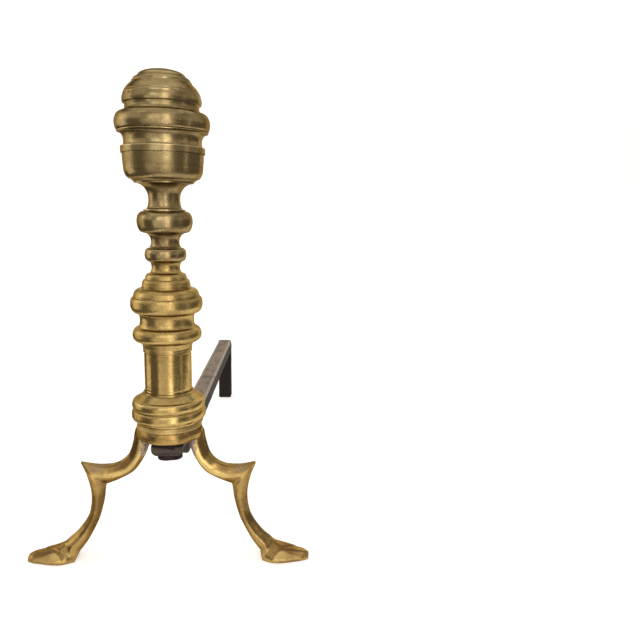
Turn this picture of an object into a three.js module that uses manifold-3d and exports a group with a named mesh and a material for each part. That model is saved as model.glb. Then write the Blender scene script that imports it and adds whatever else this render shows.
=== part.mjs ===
// Ring-turned brass andiron on spurred, slipper-footed legs, with a forged iron billet bar.
// Millimetres, +Z up. The column stands on the Z axis while it is built, the bar runs
// back along +Y, and the finished group is shifted so that the origin is the middle of
// the footprint on the hearth.

import * as THREE from 'three';
import { mergeVertices } from 'three/addons/utils/BufferGeometryUtils.js';
import Module from 'manifold-3d';

// ---------------------------------------------------------------- clearances and facets

const SEAM = 0.3;                 // gap between parts that bear on each other
const ROD_CLEARANCE = 0.4;        // radial play of the rod in every bore
const TURN_FACETS = 32;           // facets round a turned part
const CURVE_STEPS = 3;            // facets along each quarter of a bead or cove

// ---------------------------------------------------------------- iron rod, nuts

const ROD_RADIUS = 4.8;
const ROD_TAIL = 1.6;             // rod end showing under its nut
const ROD_NUT_FLAT = 22;          // across the flats, square
const ROD_NUT_HEIGHT = 6.4;
const ROD_NUT_TURN = 11;          // degrees, as tightened
const FINIAL_NUT_FLAT = 19;
const FINIAL_NUT_HEIGHT = 9;

// ---------------------------------------------------------------- collar and legs

const LEG_HEIGHT = 111.3;         // hearth to the underside of the collar
const LEG_REACH = 125.5;          // column axis to the tip of a toe, along the leg
const LEG_SPLAY = 5.3;            // degrees that each leg swings forward
const LEG_FRONT = 8;              // leg's mid plane to its front ridge
const LEG_BACK = 6;               // leg's mid plane to its flat back
const FOOT_HALF_WIDTH = 15;
const KNEE_DISH = 2.2;            // depth of the dished upper face
const COLLAR_RADIUS = 26.8;
const COLLAR_HEIGHT = 10.6;
const COLLAR_EDGE = 1.2;          // bevel round the collar's lower edge

// ---------------------------------------------------------------- forged bar

const BAR_LENGTH = 512.6;         // column axis to the back of the rear leg
const BAR_WIDTH = 20.4;
const BAR_DEPTH = 20;
const BAR_TOP = 97;               // hearth to the top of the bar
const BAR_CORNER = 1.8;           // hammered chamfer along the bar's edges
const BAR_BEND = 7;               // outside radius of the bend into the rear leg
const BEND_HEEL = 2.75;           // how far the inside of the bend runs down the rear leg
const TONGUE_THICKNESS = 12.6;
const TONGUE_WIDTH = 28;
const TONGUE_NOSE = 2.75;         // rounding of the tongue's front edges
const NOSE_WIDTHS = [0.6, 0.9];   // tongue's width at its front and just behind, as shares
const ROOT_WIDTH = 0.94;          // tongue's width where the joggle starts, as a share
const TONGUE_FRONT = 20;          // column axis to the tongue's rounded front
const TONGUE_BACK = 24;           // column axis to where the joggle starts
const JOGGLE = 24;                // length over which the tongue drops into the bar

// ---------------------------------------------------------------- turned column, from below
// Each radius is measured to the turned surface; each height is along the axis.

const WALL = 4;                   // casting wall
// A value named At is how far up its round or hollow the widest or narrowest place lies.
const SEAT = { foot: 28.2, head: 27, height: 4 };
const BASE = {
  foot: 26.9, footHeight: 1.4, lip: 28.5, lipHeight: 1,
  lowerRing: 32.1, lowerTop: 30.2, lowerHeight: 9.8, lowerAt: 0.42, grooveHeight: 0.8,
  upperRing: 31.5, upperTop: 28.6, upperHeight: 8.2, upperAt: 0.4,
  shoulder: 27.6, shoulderTop: 21.8, shoulderHeight: 5, head: 21.4, headHeight: 1.6,
};
const SHAFT = { radius: 20.2, height: 34.6 };
const WAIST = {
  foot: 20.9, footHeight: 1.4, flare: 23.6, flareHeight: 7.6,
  ringFoot: 24.2, ring: 29.3, ringTop: 25, ringHeight: 12.4, ringAt: 0.45,
  waist: 22.9, head: 24.8, headHeight: 12.1, waistAt: 0.5,
};
const BELL = {
  foot: 25.4, ring: 30.5, ringTop: 28.8, ringHeight: 13.4, ringAt: 0.55,
  shoulder: 28, shoulderTop: 22.4, shoulderHeight: 7.6,
  step: 20.6, stepTop: 18.4, stepHeight: 7.6, cap: 17.6, capTop: 15, capHeight: 5,
  neck: 11.9, head: 14.2, headHeight: 10, neckAt: 0.5,
};
const LOWER_KNOP = { foot: 14.2, ring: 17.4, head: 14.6, height: 11, ringAt: 0.5 };
const MIDDLE_SPOOL = { foot: 14.2, neck: 11.8, head: 18.2, height: 12.6, neckAt: 0.42 };
const UPPER_KNOP = { foot: 18.6, ring: 23.2, head: 18, height: 17.6, ringAt: 0.55 };
const NECK_SPOOL = {
  foot: 17.6, footHeight: 1.2, quirk: 15.8, neck: 13.1, head: 24, height: 21.3, neckAt: 0.42,
};
const BOWL = {
  foot: 24.6, footHeight: 1.2, turn: 25.4, turnTop: 27, turnHeight: 1.6,
  side: 32.6, sideHeight: 9.9, rim: 33.4, rimHeight: 10.7,
};
const CROWN = {
  rim: 34.4, rimHeight: 5.3, scotiaFoot: 33, scotia: 31.8, scotiaTop: 36.6, scotiaHeight: 11.4,
  scotiaAt: 0.35, fillet: 37.4, filletHeight: 1.2,
  ringFoot: 37.8, ring: 38.7, ringTop: 33.4, ringHeight: 14.6, ringAt: 0.42,
  waistFoot: 32.6, waist: 30, waistTop: 30.8, waistHeight: 6.8, waistAt: 0.6,
  domeFoot: 31.5, dome: 32.1, domeFootHeight: 3.6, domeTop: 24.4, domeHeight: 12.8, domeSwell: 1.5,
  lipHeight: 1, stepFoot: 23.2, stepTop: 19.6, stepHeight: 4.2,
  cap: 19, capEdge: 0.8, capHeight: 5,
};

// ---------------------------------------------------------------- leg pattern
// The leg is drawn once, seen from the front, in percent of the way from the collar's side to
// the tip of the toe (out) and of the collar's height (up). Each station joins a point on the
// outer edge to one on the inner edge:
// [outer out, outer up, inner out, inner up, thickness, ridge, rim]
// thickness is a share of the full one, ridge is how far up from the inner edge the front
// ridge lies, and rim is the share of the thickness that the upper face spreads over.

const ARM = [
  [-2.7, 108.4, -9.9, 100.4, 0.90, 0.40, 0.80],
  [2.9, 106.6, -10.1, 97.2, 0.95, 0.40, 0.80],
  [5.4, 96.2, -8.3, 91.8, 1.00, 0.38, 0.80],
  [10, 85.0, -4, 82.8, 1.00, 0.36, 0.85],
  [20.4, 78.0, 4.9, 72.0, 1.00, 0.34, 0.90],
  [34.9, 76.8, 18.1, 65.4, 1.00, 0.36, 1.00],
  [50.3, 81.0, 29.3, 61.8, 0.90, 0.44, 0.12],
];
const SHIN = [
  [51, 79.2, 29.7, 60.7, 0.90, 0.46, 0.10],
  [46.1, 68.2, 30.4, 56.5, 0.90, 0.48, 0.40],
  [43, 53.0, 32, 47.2, 0.86, 0.48, 0.60],
  [45.8, 36.7, 37.3, 31.6, 0.86, 0.50, 0.60],
  [55.1, 23.6, 46.6, 15.6, 0.90, 0.52, 0.60],
  [63.9, 16.6, 55.2, 5.2, 1.10, 0.56, 0.50],
];
// Round the leg's section, from the upper face down the front and up the flat back. Shares
// across are of the way out to the front ridge or to the flat back.
const BACK_RIM = 0.8;
const DISH_PLACE = 0.2;
const FRONT_RIM = 0.5;
const FRONT_RIM_UP = 0.97;
// [share up the section, further share of the ridge's place, share out]
const FRONT_FACES = [[0.46, 0.5, 0.84], [0, 1, 1], [0, 0.45, 0.74], [0, 0, 0.1]];
// [share up the section, share out]
const BACK_FACES = [[0.1, 0.9], [0.6, 1]];
// Foot stations, the last value being the share of the foot's half width:
// [top out, top up, sole out, sole up, half width]
const FOOT = [
  [67.7, 13.4, 58.3, 0, 0.74],
  [74.3, 10.4, 67.7, 0, 1.00],
  [81.9, 8.6, 77.9, 0, 0.95],
  [89.1, 7.3, 87, 0, 0.74],
  [95.2, 6.3, 94.2, 0, 0.58],
  [99.3, 4.6, 100, 0, 0.32],
];
// Round the foot's section: [share of the way up to its crest, share of its half width back]
const FOOT_SECTION = [
  [0.92, 0.45], [1, 0.05], [0.9, -0.4], [0.68, -0.76], [0.42, -0.98],
  [0.16, -1], [0, -0.88], [0, 0.88], [0.45, 0.96],
];
const ARM_STEPS = 12;
const SHIN_STEPS = 10;
const FOOT_STEPS = 8;

// ---------------------------------------------------------------- finishes

const BRASS = { color: 0xa08548, roughness: 0.3, metalness: 1 };
const DARK_BRASS = { color: 0x8a7140, roughness: 0.36, metalness: 1 };
const FOOT_BRASS = { color: 0xb8953f, roughness: 0.28, metalness: 1 };
const FORGED_IRON = { color: 0x5a4b42, roughness: 0.8, metalness: 0.6 };
const RUSTED_IRON = { color: 0x4a332c, roughness: 0.9, metalness: 0.4 };

const wasm = await Module();
wasm.setup();

// ---------------------------------------------------------------- geometry helpers

function toSolid(geometry) {
  const plain = geometry.clone();
  plain.deleteAttribute('normal');
  plain.deleteAttribute('uv');
  const merged = mergeVertices(plain, 1e-4);
  return new wasm.Manifold(new wasm.Mesh({
    numProp: 3,
    vertProperties: new Float32Array(merged.attributes.position.array),
    triVerts: new Uint32Array(merged.index.array),
  }));
}

function toGeometry(solid) {
  const mesh = solid.getMesh();
  const geometry = new THREE.BufferGeometry();
  geometry.setAttribute('position', new THREE.BufferAttribute(mesh.vertProperties, 3));
  geometry.setIndex(new THREE.BufferAttribute(mesh.triVerts, 1));
  return geometry;
}

function cylinder(radius, bottom, top, facets = TURN_FACETS) {
  const geometry = new THREE.CylinderGeometry(radius, radius, top - bottom, facets);
  geometry.rotateX(Math.PI / 2);
  geometry.translate(0, 0, (top + bottom) / 2);
  return geometry;
}

// A closed skin over rings of points, all rings having the same count and direction.
function skin(rings) {
  const count = rings[0].length;
  const positions = rings.flat().flatMap((point) => [point.x, point.y, point.z]);
  const faces = [];
  for (let ring = 0; ring + 1 < rings.length; ring += 1) {
    for (let side = 0; side < count; side += 1) {
      const next = (side + 1) % count;
      const a = ring * count + side;
      const b = ring * count + next;
      faces.push(a, b, a + count, b, b + count, a + count);
    }
  }
  const last = (rings.length - 1) * count;
  for (let side = 1; side + 1 < count; side += 1) {
    faces.push(0, side + 1, side);
    faces.push(last, last + side, last + side + 1);
  }
  const geometry = new THREE.BufferGeometry();
  geometry.setAttribute('position', new THREE.Float32BufferAttribute(positions, 3));
  geometry.setIndex(faces);
  return facingOut(geometry);
}

// Turns the faces round if they enclose a negative volume.
function facingOut(geometry) {
  const position = geometry.attributes.position;
  const index = geometry.index.array;
  const corner = [0, 1, 2].map(() => new THREE.Vector3());
  let volume = 0;
  for (let face = 0; face < index.length; face += 3) {
    corner.forEach((point, at) => point.fromBufferAttribute(position, index[face + at]));
    volume += corner[0].dot(corner[1].clone().cross(corner[2]));
  }
  if (volume < 0) {
    for (let face = 0; face < index.length; face += 3) {
      [index[face], index[face + 1]] = [index[face + 1], index[face]];
    }
  }
  return geometry;
}

function mirrored(geometry) {
  const copy = geometry.clone();
  copy.scale(-1, 1, 1);
  return facingOut(copy);
}

// ---------------------------------------------------------------- turned profiles

// A profile drawn upward from its foot, in the words that a turner uses.
class Turning {
  constructor(radius, bottom) {
    this.bottom = bottom;
    this.radius = radius;
    this.top = bottom;
    this.points = [new THREE.Vector2(radius, bottom)];
  }

  to(radius, height) {
    this.radius = radius;
    this.top += height;
    this.points.push(new THREE.Vector2(radius, this.top));
    return this;
  }

  step(radius) {
    return this.to(radius, 0);
  }

  rise(height) {
    return this.to(this.radius, height);
  }

  // A straight cut that bows out by swell at its middle.
  swell(end, height, swell) {
    const start = this.radius;
    const foot = this.top;
    const length = Math.hypot(end - start, height);
    for (let part = 1; part <= 2 * CURVE_STEPS; part += 1) {
      const share = part / (2 * CURVE_STEPS);
      const bow = swell * Math.sin(Math.PI * share);
      this.radius = start + (end - start) * share + bow * (height / length);
      this.top = foot + height * share + bow * ((start - end) / length);
      this.points.push(new THREE.Vector2(this.radius, this.top));
    }
    return this;
  }

  // A quarter of an ellipse, leaving upright and arriving level, or the other way about.
  quarter(end, height, leavesUpright) {
    const start = this.radius;
    const foot = this.top;
    for (let turn = 1; turn <= CURVE_STEPS; turn += 1) {
      const angle = (Math.PI / 2) * (turn / CURVE_STEPS);
      const fast = Math.sin(angle);
      const slow = 1 - Math.cos(angle);
      const across = leavesUpright ? slow : fast;
      const along = leavesUpright ? fast : slow;
      this.radius = start + (end - start) * across;
      this.top = foot + height * along;
      this.points.push(new THREE.Vector2(this.radius, this.top));
    }
    return this;
  }

  // A convex quarter, and a concave one.
  ovolo(end, height) {
    return this.quarter(end, height, end < this.radius);
  }

  cavetto(end, height) {
    return this.quarter(end, height, end > this.radius);
  }

  // A round that swells to its widest and draws in again; at is where it is widest.
  bead(widest, end, height, at) {
    return this.ovolo(widest, height * at).ovolo(end, height * (1 - at));
  }

  // A hollow that draws in to its narrowest and flares again; at is where that lies.
  cove(narrowest, end, height, at) {
    return this.cavetto(narrowest, height * at).cavetto(end, height * (1 - at));
  }

  // Revolves the profile round a hollow given from the top down as [radius, floor height].
  revolve(hollow) {
    const loop = [...this.points];
    let level = this.top;
    for (const [radius, floor] of hollow) {
      loop.push(new THREE.Vector2(radius, level));
      loop.push(new THREE.Vector2(radius, floor));
      level = floor;
    }
    loop.push(this.points[0].clone());
    return turned(loop);
  }
}

function turned(loop) {
  const lathe = new THREE.LatheGeometry(loop, TURN_FACETS);
  lathe.rotateX(Math.PI / 2);
  lathe.deleteAttribute('normal');
  lathe.deleteAttribute('uv');
  return facingOut(mergeVertices(lathe, 1e-4));
}

// ---------------------------------------------------------------- the column

const rodBore = ROD_RADIUS + ROD_CLEARANCE;
const collarBottom = LEG_HEIGHT;
const collarTop = collarBottom + COLLAR_HEIGHT;

function makeCollar() {
  return new Turning(COLLAR_RADIUS - COLLAR_EDGE, collarBottom)
    .to(COLLAR_RADIUS, COLLAR_EDGE)
    .rise(COLLAR_HEIGHT - COLLAR_EDGE)
    .revolve([[rodBore, collarBottom]]);
}

function makeSeat(bottom) {
  return new Turning(SEAT.foot, bottom)
    .to(SEAT.head, SEAT.height)
    .revolve([[rodBore, bottom]]);
}

function baseProfile(bottom) {
  return new Turning(BASE.foot, bottom)
    .rise(BASE.footHeight)
    .step(BASE.lip)
    .rise(BASE.lipHeight)
    .bead(BASE.lowerRing, BASE.lowerTop, BASE.lowerHeight, BASE.lowerAt)
    .rise(BASE.grooveHeight)
    .bead(BASE.upperRing, BASE.upperTop, BASE.upperHeight, BASE.upperAt)
    .step(BASE.shoulder)
    .to(BASE.shoulderTop, BASE.shoulderHeight)
    .step(BASE.head)
    .rise(BASE.headHeight);
}

function makeBase(bottom) {
  return baseProfile(bottom).revolve([
    [BASE.head - WALL, bottom + WALL],
    [rodBore, bottom],
  ]);
}

function shaftProfile(bottom) {
  return new Turning(SHAFT.radius, bottom).rise(SHAFT.height);
}

function makeShaft(bottom) {
  return shaftProfile(bottom).revolve([[SHAFT.radius - WALL, bottom]]);
}

function waistProfile(bottom) {
  return new Turning(WAIST.foot, bottom)
    .rise(WAIST.footHeight)
    .cavetto(WAIST.flare, WAIST.flareHeight)
    .step(WAIST.ringFoot)
    .bead(WAIST.ring, WAIST.ringTop, WAIST.ringHeight, WAIST.ringAt)
    .cove(WAIST.waist, WAIST.head, WAIST.headHeight, WAIST.waistAt);
}

function makeWaist(bottom) {
  return waistProfile(bottom).revolve([
    [WAIST.foot - WALL, bottom + WALL],
    [rodBore, bottom],
  ]);
}

function bellProfile(bottom) {
  return new Turning(BELL.foot, bottom)
    .bead(BELL.ring, BELL.ringTop, BELL.ringHeight, BELL.ringAt)
    .step(BELL.shoulder)
    .ovolo(BELL.shoulderTop, BELL.shoulderHeight)
    .step(BELL.step)
    .ovolo(BELL.stepTop, BELL.stepHeight)
    .step(BELL.cap)
    .ovolo(BELL.capTop, BELL.capHeight)
    .cove(BELL.neck, BELL.head, BELL.headHeight, BELL.neckAt);
}

function makeBell(bottom) {
  const ceiling = bottom + BELL.ringHeight + BELL.shoulderHeight;
  return bellProfile(bottom).revolve([
    [rodBore, ceiling],
    [BELL.step - WALL, bottom],
  ]);
}

function lowerKnopProfile(bottom) {
  return new Turning(LOWER_KNOP.foot, bottom)
    .bead(LOWER_KNOP.ring, LOWER_KNOP.head, LOWER_KNOP.height, LOWER_KNOP.ringAt);
}

function middleSpoolProfile(bottom) {
  return new Turning(MIDDLE_SPOOL.foot, bottom)
    .cove(MIDDLE_SPOOL.neck, MIDDLE_SPOOL.head, MIDDLE_SPOOL.height, MIDDLE_SPOOL.neckAt);
}

function upperKnopProfile(bottom) {
  return new Turning(UPPER_KNOP.foot, bottom)
    .bead(UPPER_KNOP.ring, UPPER_KNOP.head, UPPER_KNOP.height, UPPER_KNOP.ringAt);
}

function neckSpoolProfile(bottom) {
  return new Turning(NECK_SPOOL.foot, bottom)
    .rise(NECK_SPOOL.footHeight)
    .step(NECK_SPOOL.quirk)
    .cove(NECK_SPOOL.neck, NECK_SPOOL.head, NECK_SPOOL.height, NECK_SPOOL.neckAt);
}

function solidTurning(profile) {
  return profile.revolve([[rodBore, profile.bottom]]);
}

function bowlProfile(bottom) {
  return new Turning(BOWL.foot, bottom)
    .rise(BOWL.footHeight)
    .step(BOWL.turn)
    .to(BOWL.turnTop, BOWL.turnHeight)
    .ovolo(BOWL.side, BOWL.sideHeight)
    .to(BOWL.rim, BOWL.rimHeight);
}

function makeBowl(bottom) {
  return bowlProfile(bottom).revolve([
    [BOWL.foot - WALL / 2, bottom + WALL],
    [rodBore, bottom],
  ]);
}

function crownProfile(bottom) {
  return new Turning(CROWN.rim, bottom)
    .rise(CROWN.rimHeight)
    .step(CROWN.scotiaFoot)
    .cove(CROWN.scotia, CROWN.scotiaTop, CROWN.scotiaHeight, CROWN.scotiaAt)
    .step(CROWN.fillet)
    .rise(CROWN.filletHeight)
    .step(CROWN.ringFoot)
    .bead(CROWN.ring, CROWN.ringTop, CROWN.ringHeight, CROWN.ringAt)
    .step(CROWN.waistFoot)
    .cove(CROWN.waist, CROWN.waistTop, CROWN.waistHeight, CROWN.waistAt)
    .step(CROWN.domeFoot)
    .ovolo(CROWN.dome, CROWN.domeFootHeight)
    .swell(CROWN.domeTop, CROWN.domeHeight, CROWN.domeSwell)
    .rise(CROWN.lipHeight)
    .step(CROWN.stepFoot)
    .to(CROWN.stepTop, CROWN.stepHeight)
    .step(CROWN.cap)
    .rise(CROWN.capEdge)
    .ovolo(0, CROWN.capHeight);
}

function makeCrown(bottom) {
  const profile = crownProfile(bottom);
  const ceiling = profile.top - CROWN.capHeight - CROWN.stepHeight - WALL;
  const loop = [...profile.points];
  loop.push(new THREE.Vector2(0, ceiling));
  loop.push(new THREE.Vector2(CROWN.domeTop - WALL, ceiling));
  loop.push(new THREE.Vector2(CROWN.waist - WALL, bottom));
  loop.push(profile.points[0].clone());
  return turned(loop);
}

// ---------------------------------------------------------------- legs

// Spreads stations evenly over a list of key stations with a smooth curve through them.
function spread(keys, steps) {
  const fields = keys[0].length;
  const stations = [];
  for (let step = 0; step <= steps; step += 1) {
    const along = (step / steps) * (keys.length - 1);
    const at = Math.min(Math.floor(along), keys.length - 2);
    const share = along - at;
    const station = [];
    for (let field = 0; field < fields; field += 1) {
      const before = keys[Math.max(at - 1, 0)][field];
      const start = keys[at][field];
      const end = keys[at + 1][field];
      const after = keys[Math.min(at + 2, keys.length - 1)][field];
      station.push(catmullRom(before, start, end, after, share));
    }
    stations.push(station);
  }
  return stations;
}

function catmullRom(before, start, end, after, share) {
  const leaving = (end - before) / 2;
  const arriving = (after - start) / 2;
  const square = share * share;
  const cube = square * share;
  return (2 * start - 2 * end + leaving + arriving) * cube
    + (3 * end - 3 * start - 2 * leaving - arriving) * square
    + leaving * share + start;
}

// A point of the leg pattern in millimetres.
function patternPoint(out, up) {
  return [COLLAR_RADIUS + out / 100 * (LEG_REACH - COLLAR_RADIUS), up / 100 * LEG_HEIGHT];
}

// A point of a leg section: share of the way from its inner edge to its outer edge, and
// how far it lies towards the back.
function sectionPoint(outer, inner, share, back) {
  return new THREE.Vector3(
    inner[0] + (outer[0] - inner[0]) * share,
    back,
    inner[1] + (outer[1] - inner[1]) * share,
  );
}

// The leg's section. The dish sinks into the upper face, between its two rims.
function legSection([outerOut, outerUp, innerOut, innerUp, thickness, ridge, rim]) {
  const outer = patternPoint(outerOut, outerUp);
  const inner = patternPoint(innerOut, innerUp);
  const dish = KNEE_DISH * rim / Math.hypot(outer[0] - inner[0], outer[1] - inner[1]);
  const front = -LEG_FRONT * thickness;
  const back = LEG_BACK * thickness;
  return [
    sectionPoint(outer, inner, 1, back * rim * BACK_RIM),
    sectionPoint(outer, inner, 1 - dish, (front + 2 * back) * rim * DISH_PLACE),
    sectionPoint(outer, inner, FRONT_RIM_UP, front * rim * FRONT_RIM),
    ...FRONT_FACES.map(([base, share, out]) => (
      sectionPoint(outer, inner, base + ridge * share, front * out))),
    ...BACK_FACES.map(([up, out]) => sectionPoint(outer, inner, up, back * out)),
  ];
}

// The foot's section: a flat sole, a thin rounded edge and a crest down the middle.
function footSection([topOut, topUp, soleOut, soleUp, halfWidth]) {
  const top = patternPoint(topOut, topUp);
  const sole = patternPoint(soleOut, soleUp);
  const half = FOOT_HALF_WIDTH * halfWidth;
  return FOOT_SECTION.map(([up, back]) => sectionPoint(top, sole, up, half * back));
}

function makeRightLeg() {
  const rings = [
    ...spread(ARM, ARM_STEPS).map(legSection),
    ...spread(SHIN, SHIN_STEPS).map(legSection),
    ...spread(FOOT, FOOT_STEPS).map(footSection),
  ];
  const blank = skin(rings);
  blank.rotateZ(THREE.MathUtils.degToRad(-LEG_SPLAY));
  const seatCut = toSolid(cylinder(COLLAR_RADIUS + SEAM, collarBottom - SEAM, collarTop + WALL * 3));
  return toGeometry(toSolid(blank).subtract(seatCut));
}

// ---------------------------------------------------------------- forged bar

// A bar section between a point on the outside and a point on the inside of its run.
function barSection([outerBack, outerUp, innerBack, innerUp, width]) {
  const half = width / 2;
  const length = Math.hypot(outerBack - innerBack, outerUp - innerUp);
  const edge = Math.min(BAR_CORNER, length / 4);
  const nick = edge / length;
  const point = (side, share) => new THREE.Vector3(
    side,
    innerBack + (outerBack - innerBack) * share,
    innerUp + (outerUp - innerUp) * share,
  );
  return [
    point(-half + edge, 1),
    point(half - edge, 1),
    point(half, 1 - nick),
    point(half, nick),
    point(half - edge, 0),
    point(-half + edge, 0),
    point(-half, nick),
    point(-half, 1 - nick),
  ];
}

function makeBar() {
  const tongueTop = collarBottom - SEAM;
  const tongueBottom = tongueTop - TONGUE_THICKNESS;
  const barBottom = BAR_TOP - BAR_DEPTH;
  const joggleEnd = TONGUE_BACK + JOGGLE;
  const legFront = BAR_LENGTH - BAR_DEPTH;
  const shoulder = TONGUE_FRONT - TONGUE_NOSE;
  const halfway = (first, second) => (first + second) / 2;
  const joggleMiddle = halfway(TONGUE_BACK, joggleEnd);
  const stations = [
    [-TONGUE_FRONT, tongueTop - TONGUE_NOSE, -TONGUE_FRONT, tongueBottom + TONGUE_NOSE,
      TONGUE_WIDTH * NOSE_WIDTHS[0]],
    [-shoulder, tongueTop, -shoulder, tongueBottom, TONGUE_WIDTH * NOSE_WIDTHS[1]],
    [0, tongueTop, 0, tongueBottom, TONGUE_WIDTH],
    [TONGUE_BACK, tongueTop, TONGUE_BACK - TONGUE_NOSE, tongueBottom, TONGUE_WIDTH * ROOT_WIDTH],
    [joggleMiddle + TONGUE_NOSE, halfway(tongueTop, BAR_TOP),
      joggleMiddle - TONGUE_NOSE, halfway(tongueBottom, barBottom),
      halfway(TONGUE_WIDTH, BAR_WIDTH)],
    [joggleEnd, BAR_TOP, joggleEnd, barBottom, BAR_WIDTH],
    [legFront - BAR_BEND, BAR_TOP, legFront - BAR_BEND, barBottom, BAR_WIDTH],
  ];
  for (let turn = 0; turn <= CURVE_STEPS; turn += 1) {
    const angle = (Math.PI / 2) * (turn / CURVE_STEPS);
    stations.push([
      BAR_LENGTH - BAR_BEND + BAR_BEND * Math.sin(angle),
      BAR_TOP - BAR_BEND + BAR_BEND * Math.cos(angle),
      legFront, barBottom - BEND_HEEL * (turn / CURVE_STEPS), BAR_WIDTH,
    ]);
  }
  stations.push([BAR_LENGTH, BAR_CORNER, legFront, BAR_CORNER, BAR_WIDTH]);
  stations.push([BAR_LENGTH - BAR_CORNER, 0, legFront + BAR_CORNER, 0, BAR_WIDTH - 2 * BAR_CORNER]);
  const blank = toSolid(skin(stations.map(barSection)));
  const hole = toSolid(cylinder(rodBore, tongueBottom - WALL, tongueTop + WALL));
  return toGeometry(blank.subtract(hole));
}

// ---------------------------------------------------------------- rod and nuts

function makeNut(flat, height, bottom, turn) {
  const half = flat / 2;
  const outline = new THREE.Shape();
  outline.moveTo(-half, -half);
  outline.lineTo(half, -half);
  outline.lineTo(half, half);
  outline.lineTo(-half, half);
  outline.closePath();
  const block = new THREE.ExtrudeGeometry(outline, { depth: height, bevelEnabled: false });
  block.translate(0, 0, bottom);
  block.rotateZ(THREE.MathUtils.degToRad(turn));
  const hole = toSolid(cylinder(rodBore, bottom - WALL, bottom + height + WALL, TURN_FACETS / 2));
  return toGeometry(toSolid(block).subtract(hole));
}

// ---------------------------------------------------------------- assembly

const andiron = new THREE.Group();
const stack = new THREE.Group();
andiron.add(stack);

function place(name, geometry, finish) {
  const mesh = new THREE.Mesh(geometry, new THREE.MeshStandardMaterial(finish));
  mesh.name = name;
  stack.add(mesh);
}

place('leg_collar', makeCollar(), FOOT_BRASS);
const rightLeg = makeRightLeg();
place('right_leg', rightLeg, FOOT_BRASS);
place('left_leg', mirrored(rightLeg), FOOT_BRASS);

let level = collarTop + SEAM;
place('base_seat', makeSeat(level), BRASS);
level += SEAT.height + SEAM;
place('base_moulding', makeBase(level), BRASS);
level = baseProfile(level).top + SEAM;
place('plinth_shaft', makeShaft(level), BRASS);
level = shaftProfile(level).top + SEAM;
place('waist_ring', makeWaist(level), BRASS);
level = waistProfile(level).top + SEAM;
place('stepped_bell', makeBell(level), BRASS);
level = bellProfile(level).top + SEAM;

const spools = [
  ['lower_knop', lowerKnopProfile],
  ['middle_spool', middleSpoolProfile],
  ['upper_knop', upperKnopProfile],
  ['neck_spool', neckSpoolProfile],
];
for (const [name, profileAt] of spools) {
  const profile = profileAt(level);
  place(name, solidTurning(profile), DARK_BRASS);
  level = profile.top + SEAM;
}

const bowlBottom = level;
place('finial_bowl', makeBowl(bowlBottom), DARK_BRASS);
const finialNutBottom = bowlBottom + WALL + SEAM;
place('finial_nut', makeNut(FINIAL_NUT_FLAT, FINIAL_NUT_HEIGHT, finialNutBottom, 0), RUSTED_IRON);
level = bowlProfile(bowlBottom).top + SEAM;
place('finial_crown', makeCrown(level), DARK_BRASS);

const rodNutTop = collarBottom - SEAM - TONGUE_THICKNESS - SEAM;
const rodNutBottom = rodNutTop - ROD_NUT_HEIGHT;
place('billet_bar', makeBar(), FORGED_IRON);
place('rod_nut', makeNut(ROD_NUT_FLAT, ROD_NUT_HEIGHT, rodNutBottom, ROD_NUT_TURN), RUSTED_IRON);
const rodTop = finialNutBottom + FINIAL_NUT_HEIGHT + ROD_TAIL;
place('tension_rod', cylinder(ROD_RADIUS, rodNutBottom - ROD_TAIL, rodTop, TURN_FACETS / 2), RUSTED_IRON);

// The origin is the middle of the footprint on the hearth.
const footprint = new THREE.Box3().setFromObject(stack);
stack.position.y = -(footprint.min.y + footprint.max.y) / 2;

export default andiron;
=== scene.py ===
"""Dresses a packed andiron: turned brass column, spurred cast legs, forged iron billet bar."""

import logging
import math
from dataclasses import dataclass, field
from enum import Enum
from functools import cache
from typing import Callable, Iterable

import bmesh
import bpy
from mathutils import Matrix, Vector, noise


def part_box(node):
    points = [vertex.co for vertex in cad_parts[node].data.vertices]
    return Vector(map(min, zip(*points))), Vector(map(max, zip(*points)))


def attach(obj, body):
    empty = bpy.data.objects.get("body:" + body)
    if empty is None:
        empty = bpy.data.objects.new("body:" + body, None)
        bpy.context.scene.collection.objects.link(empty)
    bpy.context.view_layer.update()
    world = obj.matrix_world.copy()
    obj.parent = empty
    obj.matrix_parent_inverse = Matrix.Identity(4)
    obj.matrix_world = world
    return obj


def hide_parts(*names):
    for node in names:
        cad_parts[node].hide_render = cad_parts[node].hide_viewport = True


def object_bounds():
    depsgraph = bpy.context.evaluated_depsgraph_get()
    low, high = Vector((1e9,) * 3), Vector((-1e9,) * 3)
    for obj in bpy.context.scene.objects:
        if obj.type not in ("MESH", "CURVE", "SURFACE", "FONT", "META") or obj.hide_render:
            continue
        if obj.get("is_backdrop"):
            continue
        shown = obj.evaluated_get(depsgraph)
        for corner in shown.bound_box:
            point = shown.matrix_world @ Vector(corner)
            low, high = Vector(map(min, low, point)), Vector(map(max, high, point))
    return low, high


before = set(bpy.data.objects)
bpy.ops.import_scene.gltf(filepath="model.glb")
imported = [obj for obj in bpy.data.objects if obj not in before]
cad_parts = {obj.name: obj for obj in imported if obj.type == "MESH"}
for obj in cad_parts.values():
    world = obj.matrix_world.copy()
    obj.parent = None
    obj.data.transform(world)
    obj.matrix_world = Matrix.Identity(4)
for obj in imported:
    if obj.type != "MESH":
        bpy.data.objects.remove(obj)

CAD_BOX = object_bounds()
MM = 0.001
BODY = "root"
# The sine of the legs' splay of 5.3 degrees.
SPLAY_SINE = 0.0924
log = logging.getLogger("andiron")

Point = tuple[float, float]
Triple = tuple[float, float, float]
Colour = tuple[float, float, float]
Faces = list[tuple[int, ...]]


class Slot(Enum):
    """The record's material slots."""

    BRASS = "brass"
    DARK_BRASS = "dark_brass"
    FOOT_BRASS = "foot_brass"
    FORGED_IRON = "forged_iron"
    RUSTED_IRON = "rusted_iron"


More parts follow.
